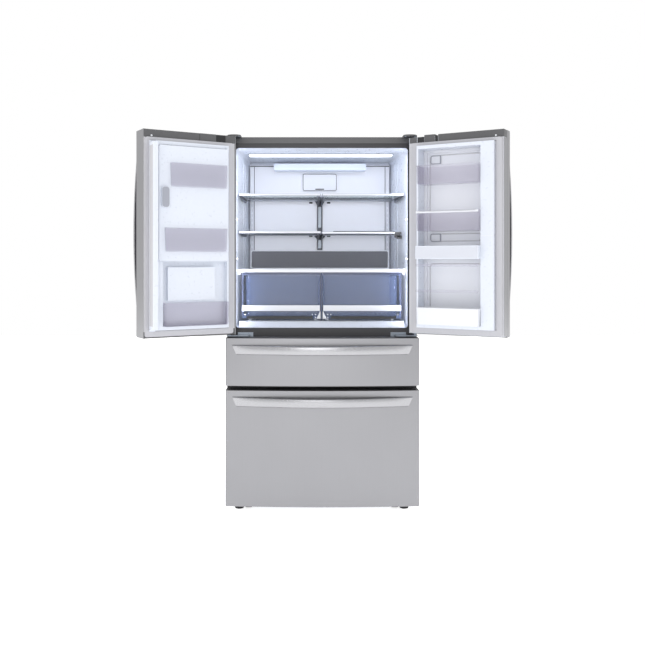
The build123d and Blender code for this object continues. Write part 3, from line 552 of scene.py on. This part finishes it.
# ---------------------------------------------------------------- cabinet
class REFRIGERATOR_OT_cabinet_shell(bpy.types.Operator):
    """Case, flange, rear, base, feet and rollers"""

    bl_idname = "refrigerator.cabinet_shell"
    bl_label = "Cabinet shell"

    def execute(self, context):
        dress("outer_case", "enamel_grey", 1.2)
        dress("front_frame", "enamel_charcoal", 0.8)
        dress("rear_panel", "zinc_spangled", 0.8)
        dress("machine_cover", "zinc_spangled")
        dress("base_frame", "zinc_plated")
        dress("foam_insulation", "foam_cut")
        dress("compressor", "steel_painted_black")
        dress("leveling_feet", "rubber_moulded")
        for node in ("front_rollers", "rear_rollers"):
            dress(node, "rubber_moulded")
        for node in ("top_hinges", "mid_hinges"):
            dress(node, "zinc_plated", 0.8)
        dress("drawer_slides", "zinc_plated", 0.5)

        # screws round the rear panel and the cover below it
        bm = bmesh.new()
        spots = [(x, z) for x in (-440, -220, 0, 220, 440) for z in (322, 1738)]
        spots += [(x, z) for z in (680, 1030, 1380) for x in (-440, 440)]
        spots += [(x, z) for x in (-440, -150, 150, 440) for z in (75, 285)]
        for x, z in spots:
            turned(bm, REAR_SCREW, (x, CASE_REAR, z), "y", 18)
        piece("rear_screws", bm, "zinc_plated", "cabinet")

        # hubs that show inside the rollers, and treads on the feet
        for name, body, y, z in (
            ("front", "front_wheels", 45.0, 23.0),
            ("rear", "rear_wheels", 548.0, 22.0),
        ):
            bm = bmesh.new()
            for centre in (-353, 353):
                for side in (-1, 1):
                    rings = []
                    for radius, out in ((8.0, 0), (15.0, 0), (15.0, 0.4), (8.0, 0.4)):
                        x = centre + side * 16.0 + side * out
                        turns = [2 * pi * k / 24 for k in range(24)]
                        rings.append([(x, y + radius * cos(a), z + radius * sin(a)) for a in turns])
                    skin_over(bm, rings, closed=True)
            piece(f"{name}_roller_hubs", bm, "abs_light_grey", body)

        bm = bmesh.new()
        for side in (-1, 1):
            for z in (27, 32.5, 38):
                turned(bm, ((5.05, -1.2), (5.9, 0), (5.05, 1.2)), (side * 398, 40, z), "z", 20)
        piece("foot_threads", bm, "zinc_plated", "cabinet")
        return {"FINISHED"}


class REFRIGERATOR_OT_top_cover(bpy.types.Operator):
    """Band across the top with a rounded cover over each hinge"""

    bl_idname = "refrigerator.top_cover"
    bl_label = "Top cover"

    def execute(self, context):
        bm = bmesh.new()
        prism(bm, rounded((-HALF, HALF), (0.2, 120), (8, 8, 3, 3)), (1757.2, 1786.6))
        for x in (-150, 150):
            prism(bm, rounded((x - 60, x + 60), (70, 108), 8), (1786.6, 1788.0))
        piece("top_band", bm, "abs_dark_grey", "cabinet", ease=2.0, replaces=("top_cover",))
        for side, word in ((-1, "left"), (1, "right")):
            bm = bmesh.new()
            low, high = sided(side, 384, 450)
            rows = []
            for z, shrink in ((1781.2, 0.3), (1787.6, 0.0), (1790.0, 1.4), (1791.0, 4.5)):
                x, y = (low + shrink, high - shrink), (-64 + shrink, 96 - shrink)
                rows.append([(px, py, z) for px, py in rounded(x, y, (10, 10, 24, 24), 8)])
            skin_over(bm, rows)
            piece(f"hinge_cover_{word}", bm, "abs_dark_grey", "cabinet")
        return {"FINISHED"}


class REFRIGERATOR_OT_room(bpy.types.Operator):
    """Refrigerator room: liner, rear panel, filter cover, light and tracks"""

    bl_idname = "refrigerator.room"
    bl_label = "Refrigerator room"

    def execute(self, context):
        for node in ("fridge_liner", "drawer_liner", "freezer_liner"):
            dress(node, "polystyrene_formed")
        dress("duct_panel", "abs_lilac_grey")
        dress("ceiling_light", "polycarbonate_frosted")
        dress("filter_cover", "polypropylene_white", 1.5)

        # raised panels either side of the track, with small air slots
        bm = bmesh.new()
        for side in (-1, 1):
            prism(bm, rounded(sided(side, 17, 350), (1252, 1556), 6), (453.0, WALL_REAR), "y")
        piece("rear_panels", bm, "abs_lilac_grey", "cabinet", ease=1.2)
        bm = bmesh.new()
        for side in (-1, 1):
            for z in (1505, 1327):
                prism(bm, rounded(sided(side, 38, 57), (z - 4.5, z + 4.5), 3), (451.8, 453.2), "y")
        piece("air_slots", bm, "abs_black_and_shade", "cabinet", ease=0.3)

        # dark band low on the rear wall
        bm = bmesh.new()
        prism(bm, rounded((-364, 364), (1158, 1246), 8), (452.2, WALL_REAR), "y")
        piece("rear_band", bm, "panel_graphite", "cabinet", ease=1.0)

        # outline and finger recess of the filter cover
        bm = bmesh.new()
        outer, inner = rounded((-90, 90), (1569, 1659), 7), rounded((-87, 87), (1572, 1656), 5)
        rounded_ring(bm, outer, inner, (447.0, 446.2), 0.3)
        prism(bm, rounded((-24, 24), (1574, 1580), 3), (447.0, 446.0), "y")
        piece("filter_outline", bm, "abs_dark_grey", "cabinet")

        # painted shadow line and bright strip across the ceiling, and the seams of the duct, whose line along
        # its top edge is painted shade in the gap
        bm = bmesh.new()
        box_loops(bm, (-364, 364), (184, 189), (1728.0, 1731.2))
        for side in (-1, 1):
            box_loops(bm, sided(side, 246, 372), (452.4, WALL_REAR), (1697.5, 1702))
            box_loops(bm, sided(side, 348, 351), (452.6, WALL_REAR), (1252, 1697))
        piece("ceiling_shade_lines", bm, "enamel_slate_and_shade", "cabinet", ease=0.4)
        bm = bmesh.new()
        for y, z in ((192, 1729.2), (222, 1728.6), (252, 1727.8)):
            box_loops(bm, (-362, 362), (y, y + 28), (z - 0.6, z + 1.4))
        piece("ceiling_strip", bm, "light_strip", "cabinet", ease=0.5)

        # shallow upright ribs and small clips on the side walls
        bm = bmesh.new()
        for side in (-1, 1):
            for y in (262, 330):
                # along y, and how far each point stands off the wall
                section = ((0, 0.6), (2, 2.0), (10, 2.0), (12, 0.6), (12, -1.0), (0, -1.0))
                outline = [(side * (liner_half(y + dy) - off), y + dy) for dy, off in section]
                prism(bm, outline, (1160, 1690))
        piece("wall_ribs", bm, "polystyrene_formed", "cabinet")
        bm = bmesh.new()
        for side in (-1, 1):
            for z in (1394.5, 1204.5):
                prism(bm, rounded((22, 42), (z - 4.5, z + 4.5), 3), sided(side, 405, 410), "x")
        piece("wall_clips", bm, "polypropylene_white", "cabinet", ease=1.0)

        # sloping sill below the crispers
        bm = bmesh.new()
        profile = [(5, 873.4), (22, 876), (52, 900), (60, 904), (63, 904), (63, 873.4)]
        skin_over(bm, stretched(profile, (-400, 400)))
        piece("floor_sill", bm, "polystyrene_formed", "cabinet", ease=2.0)

        # the shelves' tracks: a dark centre column with a bright insert, and pale side tracks
        bm = bmesh.new()
        prism(bm, rounded((-14, 14), (1252, 1534), 3), (448.2, WALL_REAR), "y")
        for top, wide, low, narrow in ((1535, 29, 1490, 13), (1345, 31, 1310, 13)):
            left = [(-wide, top), (-wide + 3, top - 22), (-narrow, low)]
            right = [(narrow, low), (wide - 3, top - 22), (wide, top)]
            prism(bm, left + right, (447.3, WALL_REAR), "y")
        for level in SHELF_LEVELS:
            low = level - 5
            for side in (-1, 1):
                outline = [(447, low), (170, low), (170, low - 5), (447, low - 24)]
                prism(bm, outline, sided(side, 6, 13), "x")
        piece("track_column", bm, "enamel_slate_and_shade", "cabinet", ease=0.8, replaces=("shelf_ladders",))
        bm = bmesh.new()
        for z in ((1372, 1482), (1262, 1306)):
            prism(bm, rounded((-8, 8), z, 3), (447.4, 448.4), "y")
        piece("track_insert", bm, "zinc_plated", "cabinet", ease=0.4)
        bm = bmesh.new()
        for side in (-1, 1):
            prism(bm, rounded(sided(side, 352, 370), (1250, 1535), 3), (449, WALL_REAR), "y")
        piece("side_tracks", bm, "abs_pale_grey", "cabinet", ease=0.8)
        bm = bmesh.new()
        for x in (-361, 361):
            for z in range(1262, 1522, 26):
                prism(bm, rounded((x - 2.0, x + 2.0), (z, z + 12), 1.8), (449.1, 448.7), "y")
        piece("track_slots", bm, "abs_lilac_grey", "cabinet")
        return {"FINISHED"}


class REFRIGERATOR_OT_shelves(bpy.types.Operator):
    """Half shelves with their front trims and brackets"""

    bl_idname = "refrigerator.shelves"
    bl_label = "Shelves"

    def execute(self, context):
        # frames drawn grey rather than their real white: painted shade on their undersides
        dress("shelf_frames", "abs_mid_grey", 1.6)
        dress("shelf_glass", "glass_tempered")
        bm = bmesh.new()
        for level, side, front, outer in SHELVES:
            low, high = sided(side, 6, outer)
            y = front + 0.2
            lip = ((-0.4, -3.6), (-0.6, 3.4), (0.6, 4.8), (4, 5.2), (4, 4.6), (1, -4.4))
            skin_over(bm, stretched([(y + dy, level + dz) for dy, dz in lip], (low, high)))
        piece("shelf_front_trims", bm, "polypropylene_white", "cabinet")

        # dark rails across under the glass, and arms that slope down along the side walls
        bm = bmesh.new()
        for level, side, front, outer in SHELVES:
            full = front == FULL_FRONT
            rail = 262 if full else 176
            box_loops(bm, sided(side, 16, liner_half(rail) - 28), (rail, rail + 10), (level - 9, level - 2.2))
            drop = 20 if level == UPPER else 12
            if full:
                rows = []
                for y, depth, wide in ((74, 3, 4), (180, 12, 7), (276, drop, 9)):
                    x = liner_half(y) - 6
                    top = level - 5.2
                    ring = ((x, top), (x - wide, top), (x - wide, top - depth), (x, top - depth))
                    rows.append([(side * px, y, pz) for px, pz in ring])
                skin_over(bm, rows)
        piece("shelf_runners", bm, "enamel_slate_and_shade", "cabinet", ease=0.6)
        bm = bmesh.new()
        for low, high, top, bottom in ((352, 384, 3, -10), (366, 396, -4, -24), (376, 402, -12, -30)):
            prism(bm, rounded((low, high), (LOWER + bottom, LOWER + top), 5), (150, 176), "y")
        box_loops(bm, (366, 398), (140, 152), (LOWER - 7, LOWER + 4.5))
        # dark bar behind the short shelf's trim: painted shadow
        box_loops(bm, (60, 366), (149, 158), (LOWER + 5.2, LOWER + 8.5))
        piece("short_shelf_hinge_and_shadow", bm, "abs_black_and_shade", "cabinet", ease=1.5)

        dress("crisper_cover", "polypropylene_white", 1.5)
        bm = bmesh.new()
        for side in (-1, 1):
            prism(bm, rounded(sided(side, 8, 392), (1138.5, 1143.5), 2), (66.2, 65.5), "y")
        piece("crisper_cover_seam", bm, "abs_lilac_grey", "cabinet")
        bm = bmesh.new()
        for side in (-1, 1):
            box_loops(bm, sided(side, 5.5, 388), (66.4, 70), (1132.6, 1137.8))
        box_loops(bm, (-4.2, 4.2), (66.4, 72), (904, 1137.8))
        piece("crisper_shadow_bars", bm, "abs_slate_blue", "cabinet", ease=0.5)
        return {"FINISHED"}


def bin_shell(bm, x, y, z, wall, front_radius, rear_radius):
    """Moulded open bin: rounded upright corners, a slight draft and a thickened rim."""
    bottom, rim = z
    lip = taper = floor = 3.0
    # height and inset of each loop, up the outside, over the rim and down the inside
    loops = (
        (bottom, taper + 4),
        (bottom + 1.2, taper + 1.2),
        (bottom + 5, taper),
        (rim - 8, 0.8),
        (rim - 6, 0),
        (rim - 1, 0),
        (rim, 0.8),
        (rim, lip),
        (rim - 1, lip + 0.4),
        (bottom + floor + 5, taper + wall),
        (bottom + floor, taper + wall + 4),
    )
    rings = []
    for level, inset in loops:
        radii = [max(0.5, r - inset) for r in (rear_radius, rear_radius, front_radius, front_radius)]
        line = rounded((x[0] + inset, x[1] - inset), (y[0] + inset, y[1] - inset), radii)
        rings.append([(px, py, level) for px, py in line])
    skin_over(bm, rings)


class REFRIGERATOR_OT_crispers(bpy.types.Operator):
    """Two clear drawers with white front rails"""

    bl_idname = "refrigerator.crispers"
    bl_label = "Crispers"

    def execute(self, context):
        for side, word in ((-1, "left"), (1, "right")):
            body = f"{word}_crisper"
            bm = bmesh.new()
            bin_shell(bm, sided(side, 5, 370), (66, 440), (912, 1120), 3.0, 16, 10)
            piece(f"crisper_{word}_shell", bm, "styrene_smoke", body, replaces=(f"crisper_{word}",))
            bm = bmesh.new()
            low, high = sided(side, 8, 386)
            front = [(59, 950), (58.2, 952), (58.2, 974), (59.5, 978)]
            rear = [(64, 978), (64, 972), (62, 956), (62, 950)]
            skin_over(bm, stretched(front + rear, (low, high)))
            piece(f"crisper_{word}_rail", bm, "polypropylene_white", body, ease=0.8)
            bm = bmesh.new()
            outer = rounded((low - 1, high + 1), (914, 1130), 10)
            inner = rounded((low + 7, high - 9), (926, 1122), 8)
            rounded_ring(bm, outer, inner, (65.8, 61.0), 1.5)
            piece(f"crisper_{word}_front_frame", bm, "styrene_smoke", body)
            # dark top rail of the crisper, and an upright dark strip at its outer end that is painted shade
            # in the gap beside the wall
            bm = bmesh.new()
            box_loops(bm, sided(side, 6, 386), (59.5, 63.8), (1127.6, 1131.8))
            box_loops(bm, sided(side, 383, 387.6), (59.5, 63.8), (926, 1127))
            piece(f"crisper_{word}_top_rail_and_gap_shade", bm, "abs_slate_blue", body, ease=0.5)
            # black band along the drawer's foot: painted shadow of the gap under the crisper, carried on the
            # drawer
            bm = bmesh.new()
            prism(bm, rounded(sided(side, 44, 363), (912.2, 925.5), 1.5), (58.4, 64.5), "y")
            piece(f"crisper_{word}_underside_shadow_band", bm, "abs_black_and_shade", body, ease=0.5)
            bm = bmesh.new()
            for x, z in ((372, 933), (351, 918.5), (45, 933), (30, 933), (30, 919)):
                turned(bm, [(0.1, 0), (3.0, 0), (3.0, 1.4), (0.1, 2.0)], (side * x, 59.4, z), "y", 14)
            guide = [(5.6, 948), (9, 948), (15, 932), (23, 919), (23, 912.4), (5.6, 912.4)]
            prism(bm, [(side * px, pz) for px, pz in guide], (58.4, 61.5), "y")
            piece(f"crisper_{word}_guides", bm, "polypropylene_white", body)
        return {"FINISHED"}


# ---------------------------------------------------------------- doors
def gasket_ring(name, x, z, body, place, node, base=PANEL_REAR, crest=-0.4, width=26.0, top=1.0):
    """Seal in bellows section: foot, two folds and a flat magnet face; top narrows its upper run."""
    # how far in, in millimetres, and how far up from foot to crest, up the outer side
    fold = ((0, 0.0), (0, 0.2), (3.0, 0.45), (3.0, 0.6), (0.3, 0.75), (0.6, 1.0), (3.0, 1.0))
    section = list(fold) + [(width - inset, rise) for inset, rise in reversed(fold[:-1])]
    rings = []
    for inset, rise in section:
        upright = (z[0] + inset, z[1] - inset * top)
        line = rounded((x[0] + inset, x[1] - inset), upright, max(2.0, 10 - inset * 0.3), 4)
        rings.append([(px, base + (crest - base) * rise, pz) for px, pz in line])
    bm = bmesh.new()
    skin_over(bm, rings, closed=True)
    piece(name, bm, "vinyl_gasket", body, place, replaces=(node,))


def door_bar(name, side, body, place, node):
    """Upright handle: a bowed rounded bar whose ends flow into the door."""
    inner_x, width = 9.0, 36
    low, high = sided(side, inner_x, inner_x + width)
    foot = contour((low + high) / 2) + 1.0
    crest = contour(inner_x) - 57.5
    middle, half_length = 1318.5, 403.0
    depth = looks().handle_depth
    count = 40
    rows = []
    for i in range(count + 1):
        t = -1 + 2 * i / count
        z = middle + t * half_length
        bow = 1 - t * t
        front = foot + (crest - foot) * bow
        back = min(foot, front + depth * (0.35 + 0.65 * bow) + 2)
        narrow = 2.0 * (1 - bow)
        y = (front, max(back, front + 1.0))
        line = rounded((low + narrow, high - narrow), y, (1.5, 1.5, 5.0, 5.0), 4)
        rows.append([(px, py, z) for px, py in line])
    bm = bmesh.new()
    skin_over(bm, rows)
    piece(name, bm, "stainless_satin", body, place, replaces=(node,))


def end_caps(name, x, body, place, node, rear=PANEL_REAR):
    """Grey caps that close the top and bottom of a door."""
    inset, count = 1.4, 24
    low, high = x[0] + inset, x[1] - inset
    front = [low + (high - low) * k / count for k in range(count + 1)]
    outline = [(px, contour(px) + inset) for px in front] + [(high, rear - 0.2), (low, rear - 0.2)]
    bm = bmesh.new()
    for z in (CAP_LOW, CAP_HIGH):
        prism(bm, outline, z)
    piece(name, bm, "abs_dark_grey", body, place, ease=1.5, replaces=(node,))


class REFRIGERATOR_OT_left_door(bpy.types.Operator):
    """Left door: steel, caps, lining, gasket, handle and lower bin"""

    bl_idname = "refrigerator.left_door"
    bl_label = "Left door"

    def execute(self, context):
        body = "left_door"
        dress("left_door_skin", "stainless_brushed")
        dress("left_door_core", "polystyrene_formed", 2.5)
        end_caps("left_caps", (-HALF, -3), body, LEFT, "left_door_caps")
        # rear faces of the caps: x, z, corner radius and how far each stands proud
        faces = (
            ((-271, -4), (1744.6, 1779.6), 2, 0.4),
            ((-353, -273), (1744.6, 1779.9), 2, 1.2),
            ((-452, -402), (1744.6, 1779.9), 4, 1.2),
            ((-450, -4), (848.6, 877.4), 2, 0.4),
        )
        # black plates in the hinge recess and in the narrow gap beside it: painted shade
        gaps = (((-401, -354), (1745, 1777), 2, 0.2), ((-273.2, -270.8), (1745, 1779.4), 0.5, 0.45))
        for name, material, ease, plates in (
            ("left_cap_faces", "abs_dark_grey", 0.4, faces),
            ("left_cap_recess_shade", "abs_black_and_shade", 0.3, gaps),
        ):
            bm = bmesh.new()
            for x, z, radius, proud in plates:
                prism(bm, rounded(x, z, radius), (PANEL_REAR - 0.6, PANEL_REAR + proud), "y")
            piece(name, bm, material, body, LEFT, ease=ease)
        bm = bmesh.new()
        turned(bm, CAP_SCREW, (-41, PANEL_REAR, 1752), "y", 20)
        piece("left_cap_screw", bm, "polypropylene_white", body, LEFT)

        # grey border between the steel and the seal
        bm = bmesh.new()
        outer, inner = rounded((-446.5, -4), (878, 1744), 2), rounded((-405, -49), (884, 1728), 10)
        rounded_ring(bm, outer, inner, (PANEL_REAR, PANEL_REAR + 0.8), 0.4)
        piece("left_border", bm, "abs_light_grey", body, LEFT)
        bm = bmesh.new()
        outer, inner = rounded((-412, -33), (880, 1730), 12), rounded((-404.4, -49.6), (885.4, 1726.6), 10)
        rounded_ring(bm, outer, inner, (PANEL_REAR, -2.5), 1.2)
        piece("left_seal_skirt", bm, "vinyl_gasket", body, LEFT)
        gasket_ring("left_seal", (-437, -8), (855, 1744), body, LEFT, "left_door_gasket", top=0.58)
        door_bar("left_handle", -1, body, LEFT, "left_door_handle")

        bm = bmesh.new()
        bin_shell(bm, (-395.5, -84.5), (-11.6, 52), (901, 1006), looks().bin_wall, 3, 14)
        piece("left_lower_bin", bm, "styrene_clear", body, LEFT, replaces=("left_door_bin",))
        return {"FINISHED"}


class REFRIGERATOR_OT_ice_room(bpy.types.Operator):
    """Ice room on the left door with its door, bins and latch"""

    bl_idname = "refrigerator.ice_room"
    bl_label = "Ice room"

    def execute(self, context):
        dress("ice_room", "polystyrene_formed", 2.0)
        dress("ice_room_door", "polystyrene_formed", 2.5)
        dress("ice_bucket", "styrene_clear")
        dress("ice_maker", "abs_light_grey", 2.0)
        body = "ice_door"
        bm = bmesh.new()
        wall = looks().bin_wall
        bin_shell(bm, (-385.5, -110.5), (31.2, 54), (1524, 1631), wall, 3, 10)
        bin_shell(bm, (-385.5, -84.5), (31.2, 54), (1234, 1341), wall, 3, 10)
        piece("ice_door_bin_shells", bm, "styrene_clear", body, LEFT, replaces=("ice_door_bins",))
        bm = bmesh.new()
        prism(bm, rounded((-105.5, -71.5), (1432, 1522), 13), (40.0, 41.0), "y")
        piece("ice_latch_pad", bm, "abs_mid_grey", body, LEFT, ease=1.5)
        return {"FINISHED"}


class REFRIGERATOR_OT_dispenser(bpy.types.Operator):
    """Water and ice dispenser in the left door's front"""

    bl_idname = "refrigerator.dispenser"
    bl_label = "Dispenser"

    def execute(self, context):
        dress("dispenser_housing", "acrylic_black", 1.5)
        dress("dispenser_paddle", "abs_dark_grey", 1.0)
        body = "left_door"
        bm = bmesh.new()
        for x in range(-283, -130, 17):
            prism(bm, rounded((x - 6.5, x + 6.5), (-104, -52), 3), (962.0, 963.2))
        piece("drip_grid", bm, "stainless_satin", body, LEFT, ease=0.4)
        return {"FINISHED"}


class REFRIGERATOR_OT_mullion(bpy.types.Operator):
    """Folding mullion on the left door"""

    bl_idname = "refrigerator.mullion"
    bl_label = "Folding mullion"

    def execute(self, context):
        bm = bmesh.new()
        prism(bm, rounded((-36, 24), (0, 24), 3), (890, 1718))
        node = "mullion_flap"
        piece("mullion_bar", bm, "polystyrene_formed", "mullion", FOLDED, ease=1.0, replaces=(node,))
        bm = bmesh.new()
        prism(bm, rounded((-27, 18), (-0.3, 0.4), 0.3), (905, 1703))
        piece("mullion_strip", bm, "abs_light_grey", "mullion", FOLDED)
        return {"FINISHED"}


class REFRIGERATOR_OT_right_bins(bpy.types.Operator):
    """Bin frame behind the right outer door"""

    bl_idname = "refrigerator.right_bins"
    bl_label = "Right bin frame"

    def execute(self, context):
        body = "right_bin_frame"
        dress("bin_frame", "polystyrene_formed", 2.5)
        bm = bmesh.new()
        outer, inner = rounded((4, 451), (857, 1744), 3), rounded((39, 405), (884, 1728), 10)
        rounded_ring(bm, outer, inner, (PANEL_REAR, PANEL_REAR + 0.8), 0.4)
        piece("right_border", bm, "abs_light_grey", body, RIGHT)
        bm = bmesh.new()
        outer, inner = rounded((33, 412), (882, 1730), 12), rounded((39.6, 404.4), (885.4, 1726.6), 10)
        rounded_ring(bm, outer, inner, (PANEL_REAR, -2.5), 1.2)
        piece("right_seal_skirt", bm, "vinyl_gasket", body, RIGHT)
        gasket_ring("right_seal", (8, 437), (859, 1744), body, RIGHT, "bin_frame_gasket", top=0.58)
        # dark cap over the frame's top and its lifted block, with black plates in the gaps beside the block
        # as painted shade:
        # x, how far each stands proud of the panel, corner radius and top
        blocks = (
            ((2.4, 309), 0.6, 1.0, 1778.6),
            ((325, 377), 1.4, 1.0, 1779.6),
            ((412, 451.8), 1.2, 4.0, 1771.2),
        )
        gaps = (((309.4, 324.6), 0.3, 1.0, 1772.0), ((377.4, 411.6), 0.3, 1.0, 1771.6))
        for name, material, ease, front, plates in (
            ("right_cap_faces", "abs_dark_grey", 0.6, -57.6, blocks),
            ("right_cap_recess_shade", "abs_black_and_shade", 0.3, -57.0, gaps),
        ):
            bm = bmesh.new()
            for x, proud, radius, top in plates:
                prism(bm, rounded(x, (front, PANEL_REAR + proud), radius), (1744.4, top))
            piece(name, bm, material, body, RIGHT, ease=ease)
        bm = bmesh.new()
        turned(bm, CAP_SCREW, (39, PANEL_REAR + 0.4, 1752), "y", 20)
        piece("right_cap_screw", bm, "polypropylene_white", body, RIGHT)
        bm = bmesh.new()
        prism(bm, rounded((2.6, 3.2), (-57.4, -12.4), 0.2), (857.5, 1743.6))
        piece("right_frame_side", bm, "stainless_brushed", body, RIGHT)
        wall = looks().bin_wall
        bm = bmesh.new()
        for z in ((1546, 1632), (1330, 1424)):
            bin_shell(bm, (100.5, 395.5), (-50, 52), z, wall, 3, 14)
        piece("right_upper_bins", bm, "styrene_clear", body, RIGHT, replaces=("bin_frame_bins",))
        bm = bmesh.new()
        bin_shell(bm, (100.5, 395.5), (-50, 52), (901, 980), 3.5, 3, 10)
        piece("right_lower_bin", bm, "polypropylene_white", body, RIGHT)
        bm = bmesh.new()
        prism(bm, rounded((101, 395), (45, 52), 3), (1412, 1422))
        piece("right_bin_rail", bm, "polypropylene_white", body, RIGHT, ease=1.5)
        bm = bmesh.new()
        prism(bm, rounded((41, 99), (1304, 1306), 0.5), (17.6, 18.6), "y")
        piece("right_margin_seam", bm, "abs_lilac_grey", body, RIGHT)
        bm = bmesh.new()
        for z in (1056, 1174):
            prism(bm, rounded((101, 395), (44, 51.6), 3), (z - 6, z + 6))
        piece("right_guard_rails", bm, "styrene_clear", body, RIGHT, ease=1.5)
        bm = bmesh.new()
        prism(bm, rounded((100.6, 395.4), (1203, 1261), 5), (46, 52), "y")
        piece("right_cross_shelf_face", bm, "abs_pale_grey", body, RIGHT, ease=2.0)
        return {"FINISHED"}


class REFRIGERATOR_OT_right_door(bpy.types.Operator):
    """Right outer door: steel, caps, ribbed lining, inner seal, hinge arms and handle"""

    bl_idname = "refrigerator.right_door"
    bl_label = "Right outer door"

    def execute(self, context):
        body = "right_outer_door"
        dress("outer_door_skin", "stainless_brushed")
        dress("outer_door_core", "abs_lilac_grey", 2.0)
        dress("outer_door_hinges", "zinc_plated")
        end_caps("outer_caps", (3, HALF), body, RIGHT, "outer_door_caps", rear=OUTER_REAR)
        gasket_ring(
            "outer_seal", (18, 422), (878, 1756), body, RIGHT, "outer_door_gasket", OUTER_REAR, -58.4, 14.0
        )
        door_bar("right_handle", 1, body, RIGHT, "outer_door_handle")
        bm = bmesh.new()
        for low, high in ((930, 1182), (1330, 1690), (1284, 1322)):
            outer, inner = rounded((122, 374), (low, high), 16), rounded((126, 370), (low + 4, high - 4), 13)
            rounded_ring(bm, outer, inner, (OUTER_REAR - 14, OUTER_REAR - 11), 1.0)
        piece("outer_lining_beads", bm, "abs_light_grey", body, RIGHT, ease=0.6)
        bm = bmesh.new()
        for z in ((1648, 1688), (1284, 1322)):
            outer, inner = rounded((318, 370), z, 9), rounded((321, 367), (z[0] + 3, z[1] - 3), 7)
            rounded_ring(bm, outer, inner, (OUTER_REAR - 14, OUTER_REAR - 9.5), 1.0)
            prism(bm, rounded((318, 323), z, 2), (OUTER_REAR - 14, OUTER_REAR - 9), "y")
        piece("outer_lining_notches", bm, "abs_mid_grey", body, RIGHT, ease=0.5)
        return {"FINISHED"}


# ---------------------------------------------------------------- drawers
def drawer_bar(name, top, body, node):
    """Bowed drawer handle: tall slanted ends merging into the front, slimmer at the middle."""
    count = 64
    end = 423.0
    crest, start = ARC_FRONT - 49.5, contour(end) - 2.5
    depth = looks().handle_depth
    rows = []
    for i in range(count + 1):
        t = -1 + 2 * i / count
        bow = 1 - t * t
        x = t * (end - 0.5)
        foot = contour(x) + 2.5
        front = start + (crest - start) * bow
        back = min(foot, front + depth * (0.3 + 0.7 * min(1.0, bow * 3)))
        height = 45.4 - 5.0 * min(1.0, bow * 1.4)
        high = top - 0.3 - 3.0 * min(1.0, bow * 1.1)
        line = rounded((front, max(back, front + 1.5)), (high - height, high), (2.0, 6.0, 6.0, 2.0), 4)
        slant = 20.0 * abs(t) ** 10 * (1 if t > 0 else -1)
        rows.append([(x - slant * (high - pz) / height, py, pz) for py, pz in line])
    bm = bmesh.new()
    skin_over(bm, rows)
    piece(name, bm, "stainless_satin", body, replaces=(node,))


class REFRIGERATOR_OT_drawers(bpy.types.Operator):
    """Middle and freezer drawers: fronts, seals, handles and bins"""

    bl_idname = "refrigerator.drawers"
    bl_label = "Drawers"

    def execute(self, context):
        for word, top in (("middle", 802.0), ("freezer", 560.0)):
            body = f"{word}_drawer"
            dress(f"{word}_front", "stainless_brushed")
            dress(f"{word}_core", "abs_dark_grey", 1.5)
            dress(f"{word}_gasket", "vinyl_gasket", 1.0)
            dress(f"{word}_bin", "polypropylene_white", 1.2)
            drawer_bar(f"{word}_bar", top, body, f"{word}_handle")
            bm = bmesh.new()
            low, high = (corner[2] * 1000 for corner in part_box(f"{word}_core"))
            sheet = rounded((-446, 446), (low + 3, high - 3), 4)
            prism(bm, sheet, (PANEL_REAR - 0.6, PANEL_REAR + 0.4), "y")
            piece(f"{word}_inner_sheet", bm, "polystyrene_formed", body, ease=0.4)
        dress("freezer_tray", "polypropylene_white", 1.2)
        return {"FINISHED"}


class REFRIGERATOR_PT_panel(bpy.types.Panel):
    """Lists the makers of the refrigerator's pieces"""

    bl_label = "Refrigerator"
    bl_idname = "REFRIGERATOR_PT_panel"
    bl_space_type = "VIEW_3D"
    bl_region_type = "UI"
    bl_category = "Refrigerator"

    def draw(self, context):
        for name in RefrigeratorLooks.__annotations__:
            self.layout.prop(context.scene.refrigerator_looks, name)
        for maker in MAKERS:
            self.layout.operator(maker.bl_idname)


MAKERS = (
    REFRIGERATOR_OT_stage,
    REFRIGERATOR_OT_cabinet_shell,
    REFRIGERATOR_OT_top_cover,
    REFRIGERATOR_OT_room,
    REFRIGERATOR_OT_shelves,
    REFRIGERATOR_OT_crispers,
    REFRIGERATOR_OT_left_door,
    REFRIGERATOR_OT_ice_room,
    REFRIGERATOR_OT_dispenser,
    REFRIGERATOR_OT_mullion,
    REFRIGERATOR_OT_right_bins,
    REFRIGERATOR_OT_right_door,
    REFRIGERATOR_OT_drawers,
)


def register():
    for kind in (RefrigeratorLooks, *MAKERS, REFRIGERATOR_PT_panel):
        bpy.utils.register_class(kind)
    bpy.types.Scene.refrigerator_looks = PointerProperty(type=RefrigeratorLooks)


def unregister():
    del bpy.types.Scene.refrigerator_looks
    for kind in reversed((RefrigeratorLooks, *MAKERS, REFRIGERATOR_PT_panel)):
        bpy.utils.unregister_class(kind)


def main():
    register()
    for maker in MAKERS:
        group, name = maker.bl_idname.split(".")
        getattr(getattr(bpy.ops, group), name)()


if __name__ == "__main__":
    main()
